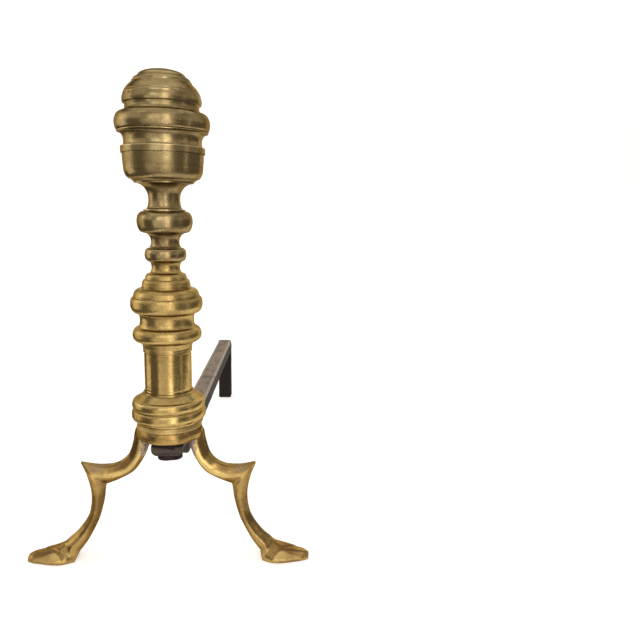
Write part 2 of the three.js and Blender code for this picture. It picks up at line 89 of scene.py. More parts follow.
def linear(level: int) -> float:
    """A screen level of 0 to 255 as linear light."""
    share = level / 255
    return share / 12.92 if share <= 0.04045 else ((share + 0.055) / 1.055) ** 2.4


def srgb(red: int, green: int, blue: int) -> Colour:
    """A screen colour of 0 to 255 as linear light."""
    return linear(red), linear(green), linear(blue)


def clamped(number: float) -> float:
    """The number, kept from 0 to 1."""
    return min(1.0, max(0.0, number))


def hump(distance: float, width: float) -> float:
    """1 at no distance, falling smoothly to almost nothing at twice the width."""
    return math.exp(-(distance / width) ** 2)


def spaced(start: float, end: float, count: int) -> list[float]:
    """That many evenly spaced numbers after start, the last of them end."""
    return [start + (end - start) * step / count for step in range(1, count + 1)]


# ---- shader building


class Value:
    """A shader socket that Python's arithmetic operators act on."""

    def __init__(self, graph: "Graph", socket: bpy.types.NodeSocket) -> None:
        """Keeps the graph that new nodes go into, and the output socket."""
        self.graph = graph
        self.socket = socket

    def maths(self, operation: str, *others: "Value | float", clamp: bool = False) -> "Value":
        """Adds one Math node.

        Args:
            operation: the Math node's operation.
            others: what follows this value in the node's sockets.
            clamp: whether the result is kept from 0 to 1.

        Returns:
            The node's result.
        """
        settings = {"operation": operation, "use_clamp": clamp}
        sockets = dict(enumerate((self, *others)))
        return self.graph.add("ShaderNodeMath", settings, sockets)

    def __add__(self, other: "Value | float") -> "Value":
        """This plus other."""
        return self.maths("ADD", other)

    __radd__ = __add__

    def __mul__(self, other: "Value | float") -> "Value":
        """This times other."""
        return self.maths("MULTIPLY", other)

    __rmul__ = __mul__

    def __sub__(self, other: "Value | float") -> "Value":
        """This less other."""
        return self.maths("SUBTRACT", other)

    def __rsub__(self, other: float) -> "Value":
        """Other less this."""
        return self.graph.add("ShaderNodeMath", {"operation": "SUBTRACT"}, {0: other, 1: self})

    def clamped(self) -> "Value":
        """This, kept from 0 to 1."""
        return self.maths("ADD", 0.0, clamp=True)

    def between(self, low: float, high: float) -> "Value":
        """0 below low, 1 above high and a smooth rise between; falls if low is the larger."""
        sockets = {"Value": self, "From Min": low, "From Max": high}
        return self.graph.add("ShaderNodeMapRange", {"interpolation_type": "SMOOTHSTEP"}, sockets)


class Graph:
    """The node tree of one material."""

    def __init__(self, name: str) -> None:
        """Makes an empty material of that name."""
        self.material = bpy.data.materials.new(name)
        self.material.use_nodes = True
        self.tree = self.material.node_tree
        self.tree.nodes.clear()

    def add(self, kind: str, settings: dict | None = None, sockets: dict | None = None,
            output: str | None = None) -> Value:
        """Adds a node.

        Args:
            kind: the node's type.
            settings: its properties, set first; "stops" fills a colour ramp.
            sockets: values or links by socket name or number.
            output: the output wanted, or None for the first that is in use.

        Returns:
            The chosen output.
        """
        node = self.tree.nodes.new(kind)
        for name, setting in (settings or {}).items():
            if name == "stops":
                self.fill_ramp(node.color_ramp, setting)
            else:
                setattr(node, name, setting)
        for key, given in (sockets or {}).items():
            socket = self.find(node.inputs, key)
            if isinstance(given, Value):
                self.tree.links.new(given.socket, socket)
            elif isinstance(given, tuple) and socket.type == "RGBA":
                socket.default_value = (*given, 1.0)
            else:
                socket.default_value = given
        return Value(self, self.find(node.outputs, output))

    @staticmethod
    def fill_ramp(ramp: bpy.types.ColorRamp, stops: Iterable[tuple[float, Colour]]) -> None:
        """Puts the stops on a colour ramp that has its two first ones."""
        for at, (place, colour) in enumerate(stops):
            stop = ramp.elements[at] if at < 2 else ramp.elements.new(place)
            stop.position = place
            stop.color = (*colour, 1.0)

    @staticmethod
    def find(sockets: Iterable[bpy.types.NodeSocket], key: str | int | None) -> bpy.types.NodeSocket:
        """The socket in use that has that name or number, or the first in use for None."""
        live = [socket for socket in sockets if socket.enabled]
        if key is None:
            return live[0]
        if isinstance(key, int):
            return live[key]
        return next(socket for socket in live if socket.name == key)

    def place(self) -> Value:
        """The surface point's place in the object's frame, in metres."""
        return self.add("ShaderNodeTexCoord", output="Object")

    def scaled(self, place: Value, factors: Triple, shift: Triple = (0.0, 0.0, 0.0)) -> Value:
        """A place stretched by a factor along each axis, then shifted."""
        settings = {"operation": "MULTIPLY_ADD"}
        return self.add("ShaderNodeVectorMath", settings, {0: place, 1: factors, 2: shift})

    def noise(self, place: Value, scale: float, detail: float = 3.0, rough: float = 0.55,
              bend: float = 0.0) -> Value:
        """Soft noise from about 0.3 to 0.7.

        Args:
            place: where it is read.
            scale: cycles in a metre of place.
            detail: octaves of finer noise.
            rough: weight of the finer octaves.
            bend: how far the pattern is twisted.

        Returns:
            The noise's value.
        """
        sockets = {"Vector": place, "Scale": scale, "Detail": detail, "Roughness": rough,
                   "Distortion": bend}
        return self.add("ShaderNodeTexNoise", None, sockets)

    def cells(self, place: Value, scale: float) -> Value:
        """Distance to the nearest of randomly strewn points."""
        return self.add("ShaderNodeTexVoronoi", None, {"Vector": place, "Scale": scale}, "Distance")

    def mix(self, share: Value | float, first: Value | Colour, second: Value | Colour,
            blend: str = "MIX") -> Value:
        """Blends two colours: the first at share 0, the second at share 1."""
        settings = {"data_type": "RGBA", "blend_type": blend, "clamp_factor": True}
        return self.add("ShaderNodeMix", settings, {"Factor": share, "A": first, "B": second})

    def attribute(self, name: str) -> Value:
        """A number painted on the mesh by the script."""
        return self.add("ShaderNodeAttribute", {"attribute_name": name}, output="Fac")

    def bump(self, height: Value, distance: float, under: Value | None = None,
             strength: float = 1.0) -> Value:
        """A normal that leans with a height of 0 to 1, distance metres high."""
        sockets = {"Height": height, "Distance": distance, "Strength": strength}
        if under is not None:
            sockets["Normal"] = under
        return self.add("ShaderNodeBump", None, sockets)

    def finish(self, **sockets: Value | float | Colour) -> bpy.types.Material:
        """Joins a Principled shader to the output.

        Args:
            sockets: its sockets by name, with _ for a space.

        Returns:
            The finished material.
        """
        named = {name.replace("_", " "): given for name, given in sockets.items()}
        shader = self.add("ShaderNodeBsdfPrincipled", None, named)
        output = self.tree.nodes.new("ShaderNodeOutputMaterial")
        self.tree.links.new(shader.socket, output.inputs["Surface"])
        return self.material


# ---- finishes


EDGE_TINT = (0.5, 0.42, 0.34)
RAW_PALE = srgb(205, 188, 176)
RAW_DARK = srgb(122, 96, 84)
# The near-black of soot, also painted as shade on the bar.
SOOT_AND_SHADE = srgb(42, 35, 34)
PIT = srgb(38, 26, 18)


@dataclass(frozen=True)
class Brass:
    """Old brass: pale proud edges, rubbed and with a painted highlight, brown hollows, lathe-scratched.

    gloss and dull are the roughness of clean and of tarnished metal, and rings is how strongly
    the lathe's scratches show. edge is the pale colour of proud arrises, rubbed brass with a
    painted highlight, and hollow the brown of patina in the hollows, also painted shade on faces
    that look down.
    """

    name: str
    bright: Colour
    patina: Colour
    hollow: Colour
    stain: Colour = srgb(112, 62, 40)
    stain_share: float = 0.3
    gloss: float = 0.13
    dull: float = 0.3
    rings: float = 0.5
    # The pale colour of proud arrises: rubbed brass with a painted highlight.
    edge: Colour = srgb(238, 216, 160)

    def material(self) -> bpy.types.Material:
        """Builds the material.

        Returns:
            A metal whose colour and roughness follow wear, hollows, stains and pits, with a
            painted highlight on proud edges and painted shade on faces that look down.
        """
        graph = Graph(self.name)
        place = graph.place()
        hollow = graph.attribute("hollow")
        raw = graph.attribute("raw")
        clouds = graph.noise(place, 42.0, 4.0, 0.6, 0.4)
        mottle = graph.noise(place, 260.0, 3.0, 0.6)
        drift = graph.noise(graph.scaled(place, (1.0, 1.0, 0.35), (0.3, 0.1, 0.2)), 24.0, 3.0, 0.5)
        specks = graph.noise(place, 950.0, 2.0, 0.6)
        pits = graph.cells(place, 260.0).between(0.14, 0.05) * clouds.between(0.42, 0.62)
        rings = graph.noise(graph.scaled(place, (14.0, 14.0, 2300.0)), 1.0, 3.0, 0.7)
        bands = graph.noise(graph.scaled(place, (5.0, 5.0, 420.0)), 1.0, 2.0, 0.6)
        scuffs = graph.noise(graph.scaled(place, (900.0, 900.0, 60.0)), 1.0, 3.0, 0.65, 1.2)
        crust = graph.noise(place, 620.0, 4.0, 0.7, 0.8)

        tarnish = (clouds.between(0.36, 0.68) * 0.6 + mottle.between(0.4, 0.7) * 0.25).clamped()
        # The hollow paint holds patina in the hollows and painted shade on faces that look down.
        patina_and_shade = hollow.between(0.52, 1.0)
        # Proud arrises: rubbed brass and a painted highlight, pale and less metallic so they read
        # bright.
        edge_wear_and_highlight = hollow.between(0.36, 0.1)
        skin = (raw * 1.6 - crust * 0.9).clamped()
        colour = graph.mix(tarnish, self.bright, self.patina)
        colour = graph.mix(bands.between(0.45, 0.75) * 0.35 * self.rings, colour, self.hollow)
        # Patina in the hollows, and painted shade on faces that look down.
        colour = graph.mix(patina_and_shade * (0.3 + mottle * 0.4), colour, self.hollow)
        colour = graph.mix(drift.between(0.56, 0.72) * self.stain_share, colour, self.stain)
        # Painted highlight and rubbed metal on the proud arrises.
        colour = graph.mix(edge_wear_and_highlight * 0.85, colour, self.edge)
        colour = graph.mix(specks.between(0.62, 0.74) * 0.45, colour, self.hollow)
        colour = graph.mix(pits * 0.85, colour, PIT)
        colour = graph.mix(skin, colour, graph.mix(crust.between(0.4, 0.6), RAW_DARK, RAW_PALE))

        roughness = (self.gloss + tarnish * (self.dull - self.gloss) + patina_and_shade * 0.1
                     + specks.between(0.45, 0.8) * 0.08 + rings * 0.06 * self.rings
                     + pits * 0.3 + raw * 0.5)
        normal = graph.bump(rings, 0.00005, strength=self.rings)
        normal = graph.bump(scuffs, 0.00003, normal, 0.5)
        normal = graph.bump(mottle, 0.00022, normal, 0.22)
        normal = graph.bump(clouds, 0.0009, normal, 0.25)
        normal = graph.bump(1.0 - pits, 0.0003, normal, 0.8)
        normal = graph.bump(crust * raw, 0.0012, normal, 0.9)
        # Arrises lose some metal, so their pale painted highlight shows under any lamp.
        metallic = 1.0 - skin * 0.7 - edge_wear_and_highlight * 0.3
        return graph.finish(Base_Color=colour, Roughness=roughness, Metallic=metallic,
                            Specular_Tint=EDGE_TINT, Normal=normal)


@dataclass(frozen=True)
class Iron:
    """Forged iron: scale, patches of rust, soot and painted shade, and rubbed arrises.

    metal is how metallic the bare scale is.
    """

    name: str
    scale: Colour
    dark: Colour
    rust: Colour
    rubbed: Colour
    rust_share: float = 0.5
    metal: float = 0.5

    def material(self) -> bpy.types.Material:
        """Builds the material.

        Returns:
            A rough, partly metallic surface with broad and fine relief.
        """
        graph = Graph(self.name)
        place = graph.place()
        hollow = graph.attribute("hollow")
        # The raw paint blackens the iron: soot, and painted shade on the bar.
        soot_and_shade = graph.attribute("raw")
        broad = graph.noise(graph.scaled(place, (1.0, 0.45, 1.0)), 70.0, 4.0, 0.6, 0.6)
        grain = graph.noise(graph.scaled(place, (1.0, 0.3, 1.0)), 420.0, 4.0, 0.65)
        fine = graph.noise(place, 1500.0, 3.0, 0.65)
        blister = graph.cells(place, 330.0)
        rust = (broad.between(0.44, 0.66) * 0.7 + grain.between(0.5, 0.7) * 0.4).clamped()
        edge = hollow.between(0.42, 0.2)

        colour = graph.mix(broad.between(0.35, 0.62), self.dark, self.scale)
        colour = graph.mix(rust * self.rust_share, colour, self.rust)
        colour = graph.mix(grain.between(0.55, 0.75) * 0.5, colour, self.dark)
        colour = graph.mix(edge * 0.55, colour, self.rubbed)
        colour = graph.mix(fine.between(0.6, 0.75) * 0.4, colour, self.rubbed)
        colour = graph.mix(blister.between(0.22, 0.08) * 0.5, colour, self.dark)
        # Soot and painted shade, broken by the fine grain.
        colour = graph.mix((soot_and_shade * 1.3 - fine * 0.4).clamped(), colour, SOOT_AND_SHADE)

        roughness = 0.6 + rust * 0.25 + fine * 0.16 - edge * 0.12
        metallic = self.metal * (1.0 - rust * 0.6) * (1.0 - soot_and_shade * 0.8)
        normal = graph.bump(broad, 0.0012, strength=0.5)
        normal = graph.bump(grain, 0.0005, normal, 0.7)
        normal = graph.bump(fine, 0.00016, normal, 0.8)
        return graph.finish(Base_Color=colour, Roughness=roughness, Metallic=metallic,
                            Specular_IOR_Level=0.06, Normal=normal)


FINISHES = {
    Slot.BRASS: Brass("column_brass", srgb(196, 168, 108), srgb(150, 124, 74), srgb(92, 70, 34)),
    Slot.DARK_BRASS: Brass("finial_brass", srgb(174, 153, 110), srgb(122, 103, 69),
                           srgb(80, 64, 38), stain_share=0.2, gloss=0.18, dull=0.34),
    Slot.FOOT_BRASS: Brass("leg_brass", srgb(174, 143, 88), srgb(124, 95, 53), srgb(70, 48, 22),
                           stain_share=0.35, gloss=0.17, dull=0.34, rings=0.1,
                           edge=srgb(226, 194, 124)),
    Slot.FORGED_IRON: Iron("forged_iron", srgb(158, 143, 127), srgb(120, 107, 96), srgb(132, 110, 94),
                           srgb(190, 177, 163), rust_share=0.4, metal=0.1),
    Slot.RUSTED_IRON: Iron("rusted_iron", srgb(66, 54, 55), srgb(28, 21, 23), srgb(66, 44, 40),
                           srgb(112, 96, 90), rust_share=0.6, metal=0.3),
}


@cache
def finish(slot: Slot) -> bpy.types.Material:
    """The slot's material, made when it is first asked for."""
    return FINISHES[slot].material()


# ---- meshes


def smoothed(values: list[float], reach: int) -> list[float]:
    """Each value replaced by the mean of those within reach of it."""
    result = []
    for at in range(len(values)):
        window = values[max(0, at - reach):at + reach + 1]
        result.append(sum(window) / len(window))
    return result


@dataclass
class Skin:
    """A closed surface in millimetres, with two numbers painted on each of its points.

    hollow is 0 on a proud edge, 0.5 on plain ground and 1 in a hollow. raw is 1 where brass was
    never dressed or where iron is blackened by soot and painted shade. Edges sharper than crisp
    degrees stay crisp, points closer than weld are joined, and faces that look down get painted
    shade, as their hollow is raised in step with how far down they look.
    """

    points: list[Vector]
    faces: Faces
    hollow: list[float]
    raw: list[float]
    crisp: float = 32.0
    # How much painted shade faces that look down get.
    underside_shade: float = 0.42
    weld: float = 0.01

    def make(self, name: str, node: str, slot: Slot) -> None:
        """Makes the piece and puts it in the frame.

        Args:
            name: the piece's name.
            node: the CAD node that it stands for.
            slot: its material slot.
        """
        piece = bpy.data.objects.new(name, self.mesh(name))
        bpy.context.scene.collection.objects.link(piece)
        piece.data.materials.append(finish(slot))
        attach(piece, BODY)
        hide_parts(node)
        log.info("%s: %d faces for %s", name, len(piece.data.polygons), node)

    def mesh(self, name: str) -> bpy.types.Mesh:
        """The welded, painted and smooth-shaded mesh."""
        mesh = bpy.data.meshes.new(name)
        mesh.from_pydata([point * MM for point in self.points], [], self.faces)
        for paint, values in (("hollow", self.hollow), ("raw", self.raw)):
            mesh.attributes.new(paint, "FLOAT", "POINT").data.foreach_set("value", values)
        shape = bmesh.new()
        shape.from_mesh(mesh)
        bmesh.ops.remove_doubles(shape, verts=shape.verts, dist=self.weld * MM)
        bmesh.ops.recalc_face_normals(shape, faces=shape.faces)
        shape.to_mesh(mesh)
        shape.free()
        # Painted shade: faces that look down count as hollower, so they come out darker.
        for spot, corner in zip(mesh.attributes["hollow"].data, mesh.vertices):
            spot.value = min(1.0, spot.value + self.underside_shade * max(0.0, -corner.normal.z))
        mesh.shade_smooth()
        mesh.set_sharp_from_angle(angle=math.radians(self.crisp))
        return mesh


def joined(rings: int, count: int, endless: bool = False) -> Faces:
    """Faces over rings that follow each other.

    Args:
        rings: how many rings there are.
        count: points in each ring.
        endless: whether the last ring joins the first; if not, each end gets one face.

    Returns:
        The faces.
    """
    faces: Faces = []
    for ring in range(rings if endless else rings - 1):
        here, there = ring * count, (ring + 1) % rings * count
        for side in range(count):
            after = (side + 1) % count
            faces.append((here + side, here + after, there + after, there + side))
    if not endless:
        faces += [tuple(reversed(range(count))), tuple(range((rings - 1) * count, rings * count))]
    return faces


def node_span(node: str) -> tuple[Vector, Vector]:
    """The lowest and highest corner of a CAD node, in millimetres."""
    low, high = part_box(node)
    return Vector(low) / MM, Vector(high) / MM


def column_axis() -> Vector:
    """The point on the floor that the column stands over, in millimetres."""
    low, high = node_span("plinth_shaft")
    return Vector(((low.x + high.x) / 2, (low.y + high.y) / 2, 0.0))


AXIS = column_axis()


# ---- turned pieces


@dataclass
class Turning:
    """A profile drawn upward from a foot, in the words that a turner uses, in millimetres."""

    radius: float
    level: float = 0.0
    steps: int = 9
    points: list[Point] = field(default_factory=list)
    scores: list[tuple[float, float, float]] = field(default_factory=list)

    def __post_init__(self) -> None:
        """Marks the foot."""
        self.points.append((self.radius, self.level))

    def to(self, radius: float, height: float) -> "Turning":
        """A straight cut to another radius, that much higher."""
        self.radius = radius
        self.level += height
        self.points.append((radius, self.level))
        return self

    def step(self, radius: float) -> "Turning":
        """A level cut in or out."""
        return self.to(radius, 0.0)

    def rise(self, height: float) -> "Turning":
        """An upright cut."""
        return self.to(self.radius, height)

    def swell(self, end: float, height: float, bow: float) -> "Turning":
        """A straight cut that bows out at its middle."""
        start, foot = self.radius, self.level
        length = math.hypot(end - start, height)
        for part in range(1, 2 * self.steps + 1):
            share = part / (2 * self.steps)
            out = bow * math.sin(math.pi * share)
            self.radius = start + (end - start) * share + out * height / length
            self.level = foot + height * share + out * (start - end) / length
            self.points.append((self.radius, self.level))
        return self

    def quarter(self, end: float, height: float, leaves_upright: bool) -> "Turning":
        """A quarter of an ellipse to a radius, that much higher."""
        start, foot = self.radius, self.level
        for turn in range(1, self.steps + 1):
            angle = (math.pi / 2) * (turn / self.steps)
            fast, slow = math.sin(angle), 1 - math.cos(angle)
            across, along = (slow, fast) if leaves_upright else (fast, slow)
            self.radius = start + (end - start) * across
            self.level = foot + height * along
            self.points.append((self.radius, self.level))
        return self

    def ovolo(self, end: float, height: float) -> "Turning":
        """A convex quarter."""
        return self.quarter(end, height, end < self.radius)

    def cavetto(self, end: float, height: float) -> "Turning":
        """A concave quarter."""
        return self.quarter(end, height, end > self.radius)

    def bead(self, widest: float, end: float, height: float, at: float = 0.5) -> "Turning":
        """A round that swells to its widest, a share up its height, and draws in."""
        return self.ovolo(widest, height * at).ovolo(end, height * (1 - at))

    def cove(self, narrowest: float, end: float, height: float, at: float = 0.5) -> "Turning":
        """A hollow that draws in to its narrowest, a share up its height, and flares."""
        return self.cavetto(narrowest, height * at).cavetto(end, height * (1 - at))

    def score(self, back: float, depth: float = 0.3, width: float = 0.35) -> "Turning":
        """A line scratched round the piece, that far below where the profile has got to."""
        self.scores.append((self.level - back, depth, width))
        return self

    def softened(self, radius: float) -> list[Point]:
        """The profile with each corner eased.

        Args:
            radius: how far from the corner the easing starts.

        Returns:
            The new points.
        """
        result = [self.points[0]]
        for before, corner, after in zip(self.points, self.points[1:], self.points[2:]):
            into = (corner[0] - before[0], corner[1] - before[1])
            out = (after[0] - corner[0], after[1] - corner[1])
            long_in, long_out = math.hypot(*into), math.hypot(*out)
            if long_in < 1e-6 or long_out < 1e-6:
                continue
            bend = (into[0] * out[0] + into[1] * out[1]) / (long_in * long_out)
            if bend > 0.9:
                result.append(corner)
                continue
            near, far = min(radius, long_in * 0.45), min(radius, long_out * 0.45)
            start = (corner[0] - into[0] * near / long_in, corner[1] - into[1] * near / long_in)
            end = (corner[0] + out[0] * far / long_out, corner[1] + out[1] * far / long_out)
            middle = (start[0] * 0.25 + corner[0] * 0.5 + end[0] * 0.25,
                      start[1] * 0.25 + corner[1] * 0.5 + end[1] * 0.25)
            result += [start, middle, end]
        result.append(self.points[-1])
        return result

    def cut(self, ease: float, pitch: float) -> list[Point]:
        """The finished outer profile.

        Args:
            ease: size of the eased corners.
            pitch: longest distance between points.

        Returns:
            Points with the scored lines cut in.
        """
        rough = self.softened(ease)
        result: list[Point] = []
        for start, end in zip(rough, rough[1:]):
            pieces = max(1, math.ceil(math.dist(start, end) / pitch))
            for piece in range(pieces):
                share = piece / pieces
                result.append((start[0] + (end[0] - start[0]) * share,
                               start[1] + (end[1] - start[1]) * share))
        result.append(rough[-1])
        return [(radius - self.scored(level), level) for radius, level in result]

    def scored(self, level: float) -> float:
        """How deep the scored lines cut at a height."""
        return sum(depth * hump(level - place, width) for place, depth, width in self.scores)


@dataclass(frozen=True)
class Turned:
    """A piece of the column that came off the lathe.

    Corners are eased by ease, and the outline has a point every pitch. relief is how far a point
    stands out from its surroundings when it gets the full pale edge colour, rubbed brass with a
    painted highlight, and a point that counts as prouder than rubbed lends that colour to its
    neighbours. lobe is how far the collar swells to the roots of the legs, lobe_width how wide
    that swelling is, and wobble how uneven the piece is. A domed piece is hollow, and any other
    has a bore and a seam. dome is how far up its narrowest wall is looked for, how much of its top
    is solid and how far its ceiling tapers.
    """

    name: str
    node: str
    slot: Slot
    profile: Callable[[], Turning]
    wall: float = 4.0
    bore: float = 5.2
    domed: bool = False
    facets: int = 120
    ease: float = 0.35
    pitch: float = 0.7
    raw: float = 0.0
    seam: float = 0.3
    lobe: float = 0.0
    lobe_width: float = 0.3
    wobble: float = 0.05
    relief: float = 0.9
    rubbed: float = 0.3
    inside_shade: float = 0.9
    dome: tuple[float, float, float] = (40.0, 8.0, 16.0)

    def build(self) -> None:
        """Revolves the profile where its CAD node stands, and dresses it."""
        foot = node_span(self.node)[0].z
        outer = [(radius, level + foot) for radius, level in self.profile().cut(self.ease, self.pitch)]
        inner = self.inside(outer)
        points = []
        for turn in range(self.facets):
            angle = 2 * math.pi * turn / self.facets
            side = Vector((math.cos(angle), math.sin(angle), 0.0))
            swell = self.lobe * hump(side.y + SPLAY_SINE, self.lobe_width)
            for radius, level in outer + inner:
                point = side * radius + Vector((0.0, 0.0, level))
                grown = swell + self.wobble * noise.noise(point * 0.07)
                points.append(AXIS + point + side * (grown if radius > self.bore else 0.0))
        hollow = (self.shades(outer) + [self.inside_shade] * len(inner)) * self.facets
        faces = joined(self.facets, len(outer + inner), endless=True)
        skin = Skin(points, faces, hollow, [self.raw] * len(points))
        skin.make(self.name, self.node, self.slot)

    def shades(self, outer: list[Point]) -> list[float]:
        """How proud or hollow each point of the outer profile is, from 0 to 1.

        Args:
            outer: the profile.

        Returns:
            0 on a proud arris, 1 in a quirk.
        """
        radii = [radius for radius, _ in outer]
        shades = [clamped(0.5 + (mean - radius) / self.relief)
                  for radius, mean in zip(radii, smoothed(radii, 3))]
        # Proud arrises are widened by a point each way, so their painted highlight shows as a line.
        proudest = [min(shades[max(0, at - 1):at + 2]) for at in range(len(shades))]
        return smoothed([low if low < self.rubbed else shade
                         for low, shade in zip(proudest, shades)], 1)

    def inside(self, outer: list[Point]) -> list[Point]:
        """The hidden part of the loop: down the bore, or under the dome."""
        foot, top = outer[0][1], outer[-1][1]
        if not self.domed:
            spigot = outer[-1][0] - 1.0
            return [(spigot, top), (spigot, top + self.seam), (self.bore, top + self.seam),
                    (self.bore, foot)]
        upright, cap, taper = self.dome
        room = min(radius for radius, level in outer if level < foot + upright) - self.wall
        ceiling = top - cap - self.wall
        return [(0.0, ceiling), (room * 0.6, ceiling), (room, ceiling - taper), (room, foot)]


def collar_profile() -> Turning:
    """The ring that the legs are brazed to, its lower edge rounded and its top sloped."""
    return Turning(24.8).ovolo(26.8, 3.0).rise(2.6).to(26.3, 2.4).to(25.2, 2.6)


def seat_profile() -> Turning:
    """The low cone under the base moulding."""
    return Turning(28.2).rise(0.7).to(27.0, 3.3)


def base_profile() -> Turning:
    """Two rings, a groove between them and a sloped shoulder."""
    turning = Turning(26.9).rise(1.4).step(28.5).rise(1.0)
    turning.bead(32.1, 30.2, 9.8, 0.42).rise(0.8).bead(31.5, 28.6, 8.2, 0.4)
    return turning.step(27.6).to(21.8, 5.0).step(21.4).rise(1.6)


def shaft_profile() -> Turning:
    """The plain cylinder."""
    return Turning(20.2).rise(1.4).score(0, 0.18, 0.3).rise(33.2).score(1.6, 0.2, 0.35)


def waist_profile() -> Turning:
    """A flared foot, a big bead and a hollow."""
    turning = Turning(20.9).rise(1.4).cavetto(23.6, 7.6).score(5.6, 0.25, 0.3).score(1.0, 0.3, 0.35)
    turning.step(24.2).bead(29.3, 25.0, 12.4, 0.45)
    return turning.cove(22.9, 24.8, 12.1)


def bell_profile() -> Turning:
    """A big bead under three stepped quarter rounds and a neck."""
    turning = Turning(25.4).bead(30.5, 28.8, 13.4, 0.55).step(28.0).ovolo(22.4, 7.6)
    turning.score(4.6, 0.2, 0.3).step(20.6).ovolo(18.4, 7.6).score(4.0, 0.2, 0.3)
    return turning.step(17.6).ovolo(15.0, 5.0).cove(11.9, 14.2, 10.0)


def lower_knop_profile() -> Turning:
    """The small bead."""
    return Turning(14.2).bead(17.4, 14.6, 11.0)


def middle_spool_profile() -> Turning:
    """The hollow between the two knops."""
    return Turning(14.2).cove(11.8, 18.2, 12.6, 0.42)


def upper_knop_profile() -> Turning:
    """The larger bead."""
    return Turning(18.6).bead(23.2, 18.0, 17.6, 0.55)


def neck_spool_profile() -> Turning:
    """The hollow that flares under the finial."""
    return Turning(17.6).rise(1.2).step(15.8).cove(13.1, 24.0, 21.3, 0.42)


def bowl_profile() -> Turning:
    """The lower half of the finial."""
    turning = Turning(24.6).rise(1.2).step(25.4).to(27.0, 1.6).ovolo(32.6, 9.9)
    return turning.to(33.4, 10.7)


def crown_profile() -> Turning:
    """The upper half of the finial: rim band, hollow, great ring, dome and steps."""
    turning = Turning(34.4).rise(5.3).step(33.0).cove(31.8, 36.6, 11.4, 0.35)
    turning.step(37.2).rise(1.0).to(36.4, 0.2).bead(38.7, 33.4, 14.6, 0.42)
    turning.step(32.6).cove(30.0, 30.8, 6.8, 0.6).step(31.5).ovolo(32.1, 3.6)
    turning.swell(24.4, 12.8, 1.5).score(6.6, -0.22, 0.3).score(8.8, -0.26, 0.3).rise(1.0)
    return turning.step(23.4).ovolo(20.2, 3.4).to(19.4, 0.8).ovolo(0.0, 5.8)


COLLAR = Turned("collar_ring", "leg_collar", Slot.FOOT_BRASS, collar_profile, ease=0.8, raw=0.08,
                lobe=3.0, wobble=1.1)
COLUMN = (
    Turned("base_seat_cone", "base_seat", Slot.BRASS, seat_profile, raw=0.3),
    Turned("base_moulding_rings", "base_moulding", Slot.BRASS, base_profile, raw=0.06),
    Turned("plinth_cylinder", "plinth_shaft", Slot.BRASS, shaft_profile, bore=16.2),
    Turned("waist_bead", "waist_ring", Slot.BRASS, waist_profile, raw=0.1),
    Turned("bell_and_steps", "stepped_bell", Slot.BRASS, bell_profile, raw=0.12),
    Turned("small_knop", "lower_knop", Slot.DARK_BRASS, lower_knop_profile),
    Turned("knop_spool", "middle_spool", Slot.DARK_BRASS, middle_spool_profile),
    Turned("large_knop", "upper_knop", Slot.DARK_BRASS, upper_knop_profile),
    Turned("neck_flare", "neck_spool", Slot.DARK_BRASS, neck_spool_profile),
    Turned("finial_lower_bowl", "finial_bowl", Slot.DARK_BRASS, bowl_profile),
    Turned("finial_upper_crown", "finial_crown", Slot.DARK_BRASS, crown_profile, domed=True),
)


# ---- legs


def bend(start: Vector, leaving: Vector, end: Vector, arriving: Vector, share: float) -> Vector:
    """A point of the curve that leaves its start and arrives at its end at the given speeds."""
    square, cube = share ** 2, share ** 3
    return (start * (2 * cube - 3 * square + 1) + end * (3 * square - 2 * cube)
            + leaving * (cube - 2 * square + share) + arriving * (cube - square))


def spread(keys: list[list[Vector]], steps: int) -> list[list[Vector]]:
    """Rings spaced evenly along key rings, with a smooth curve through them."""
    rings = []
    for step in range(steps + 1):
        along = step / steps * (len(keys) - 1)
        at = min(int(along), len(keys) - 2)
        near = [keys[min(max(at + shift, 0), len(keys) - 1)] for shift in (-1, 0, 1, 2)]
        rings.append([bend(start, (end - before) * 0.5, end, (after - start) * 0.5, along - at)
                      for before, start, end, after in zip(*near)])
    return rings


def rounded_loop(corners: list[Vector], crisp: tuple[float, ...], steps: int) -> list[Vector]:
    """A closed curve through corners.

    Args:
        corners: what it passes through.
        crisp: 0 for a corner that is passed smoothly and 1 for a sharp one, by corner.
        steps: points for each span.

    Returns:
        The curve's points.
    """
    count = len(corners)
    points = []
    for at in range(count):
        before, start, end, after = (corners[(at + shift) % count] for shift in (-1, 0, 1, 2))
        straight = end - start
        leaving = ((end - before) * 0.5).lerp(straight, crisp[at])
        arriving = ((after - start) * 0.5).lerp(straight, crisp[(at + 1) % count])
        points += [bend(start, leaving, end, arriving, step / steps) for step in range(steps)]
    return points


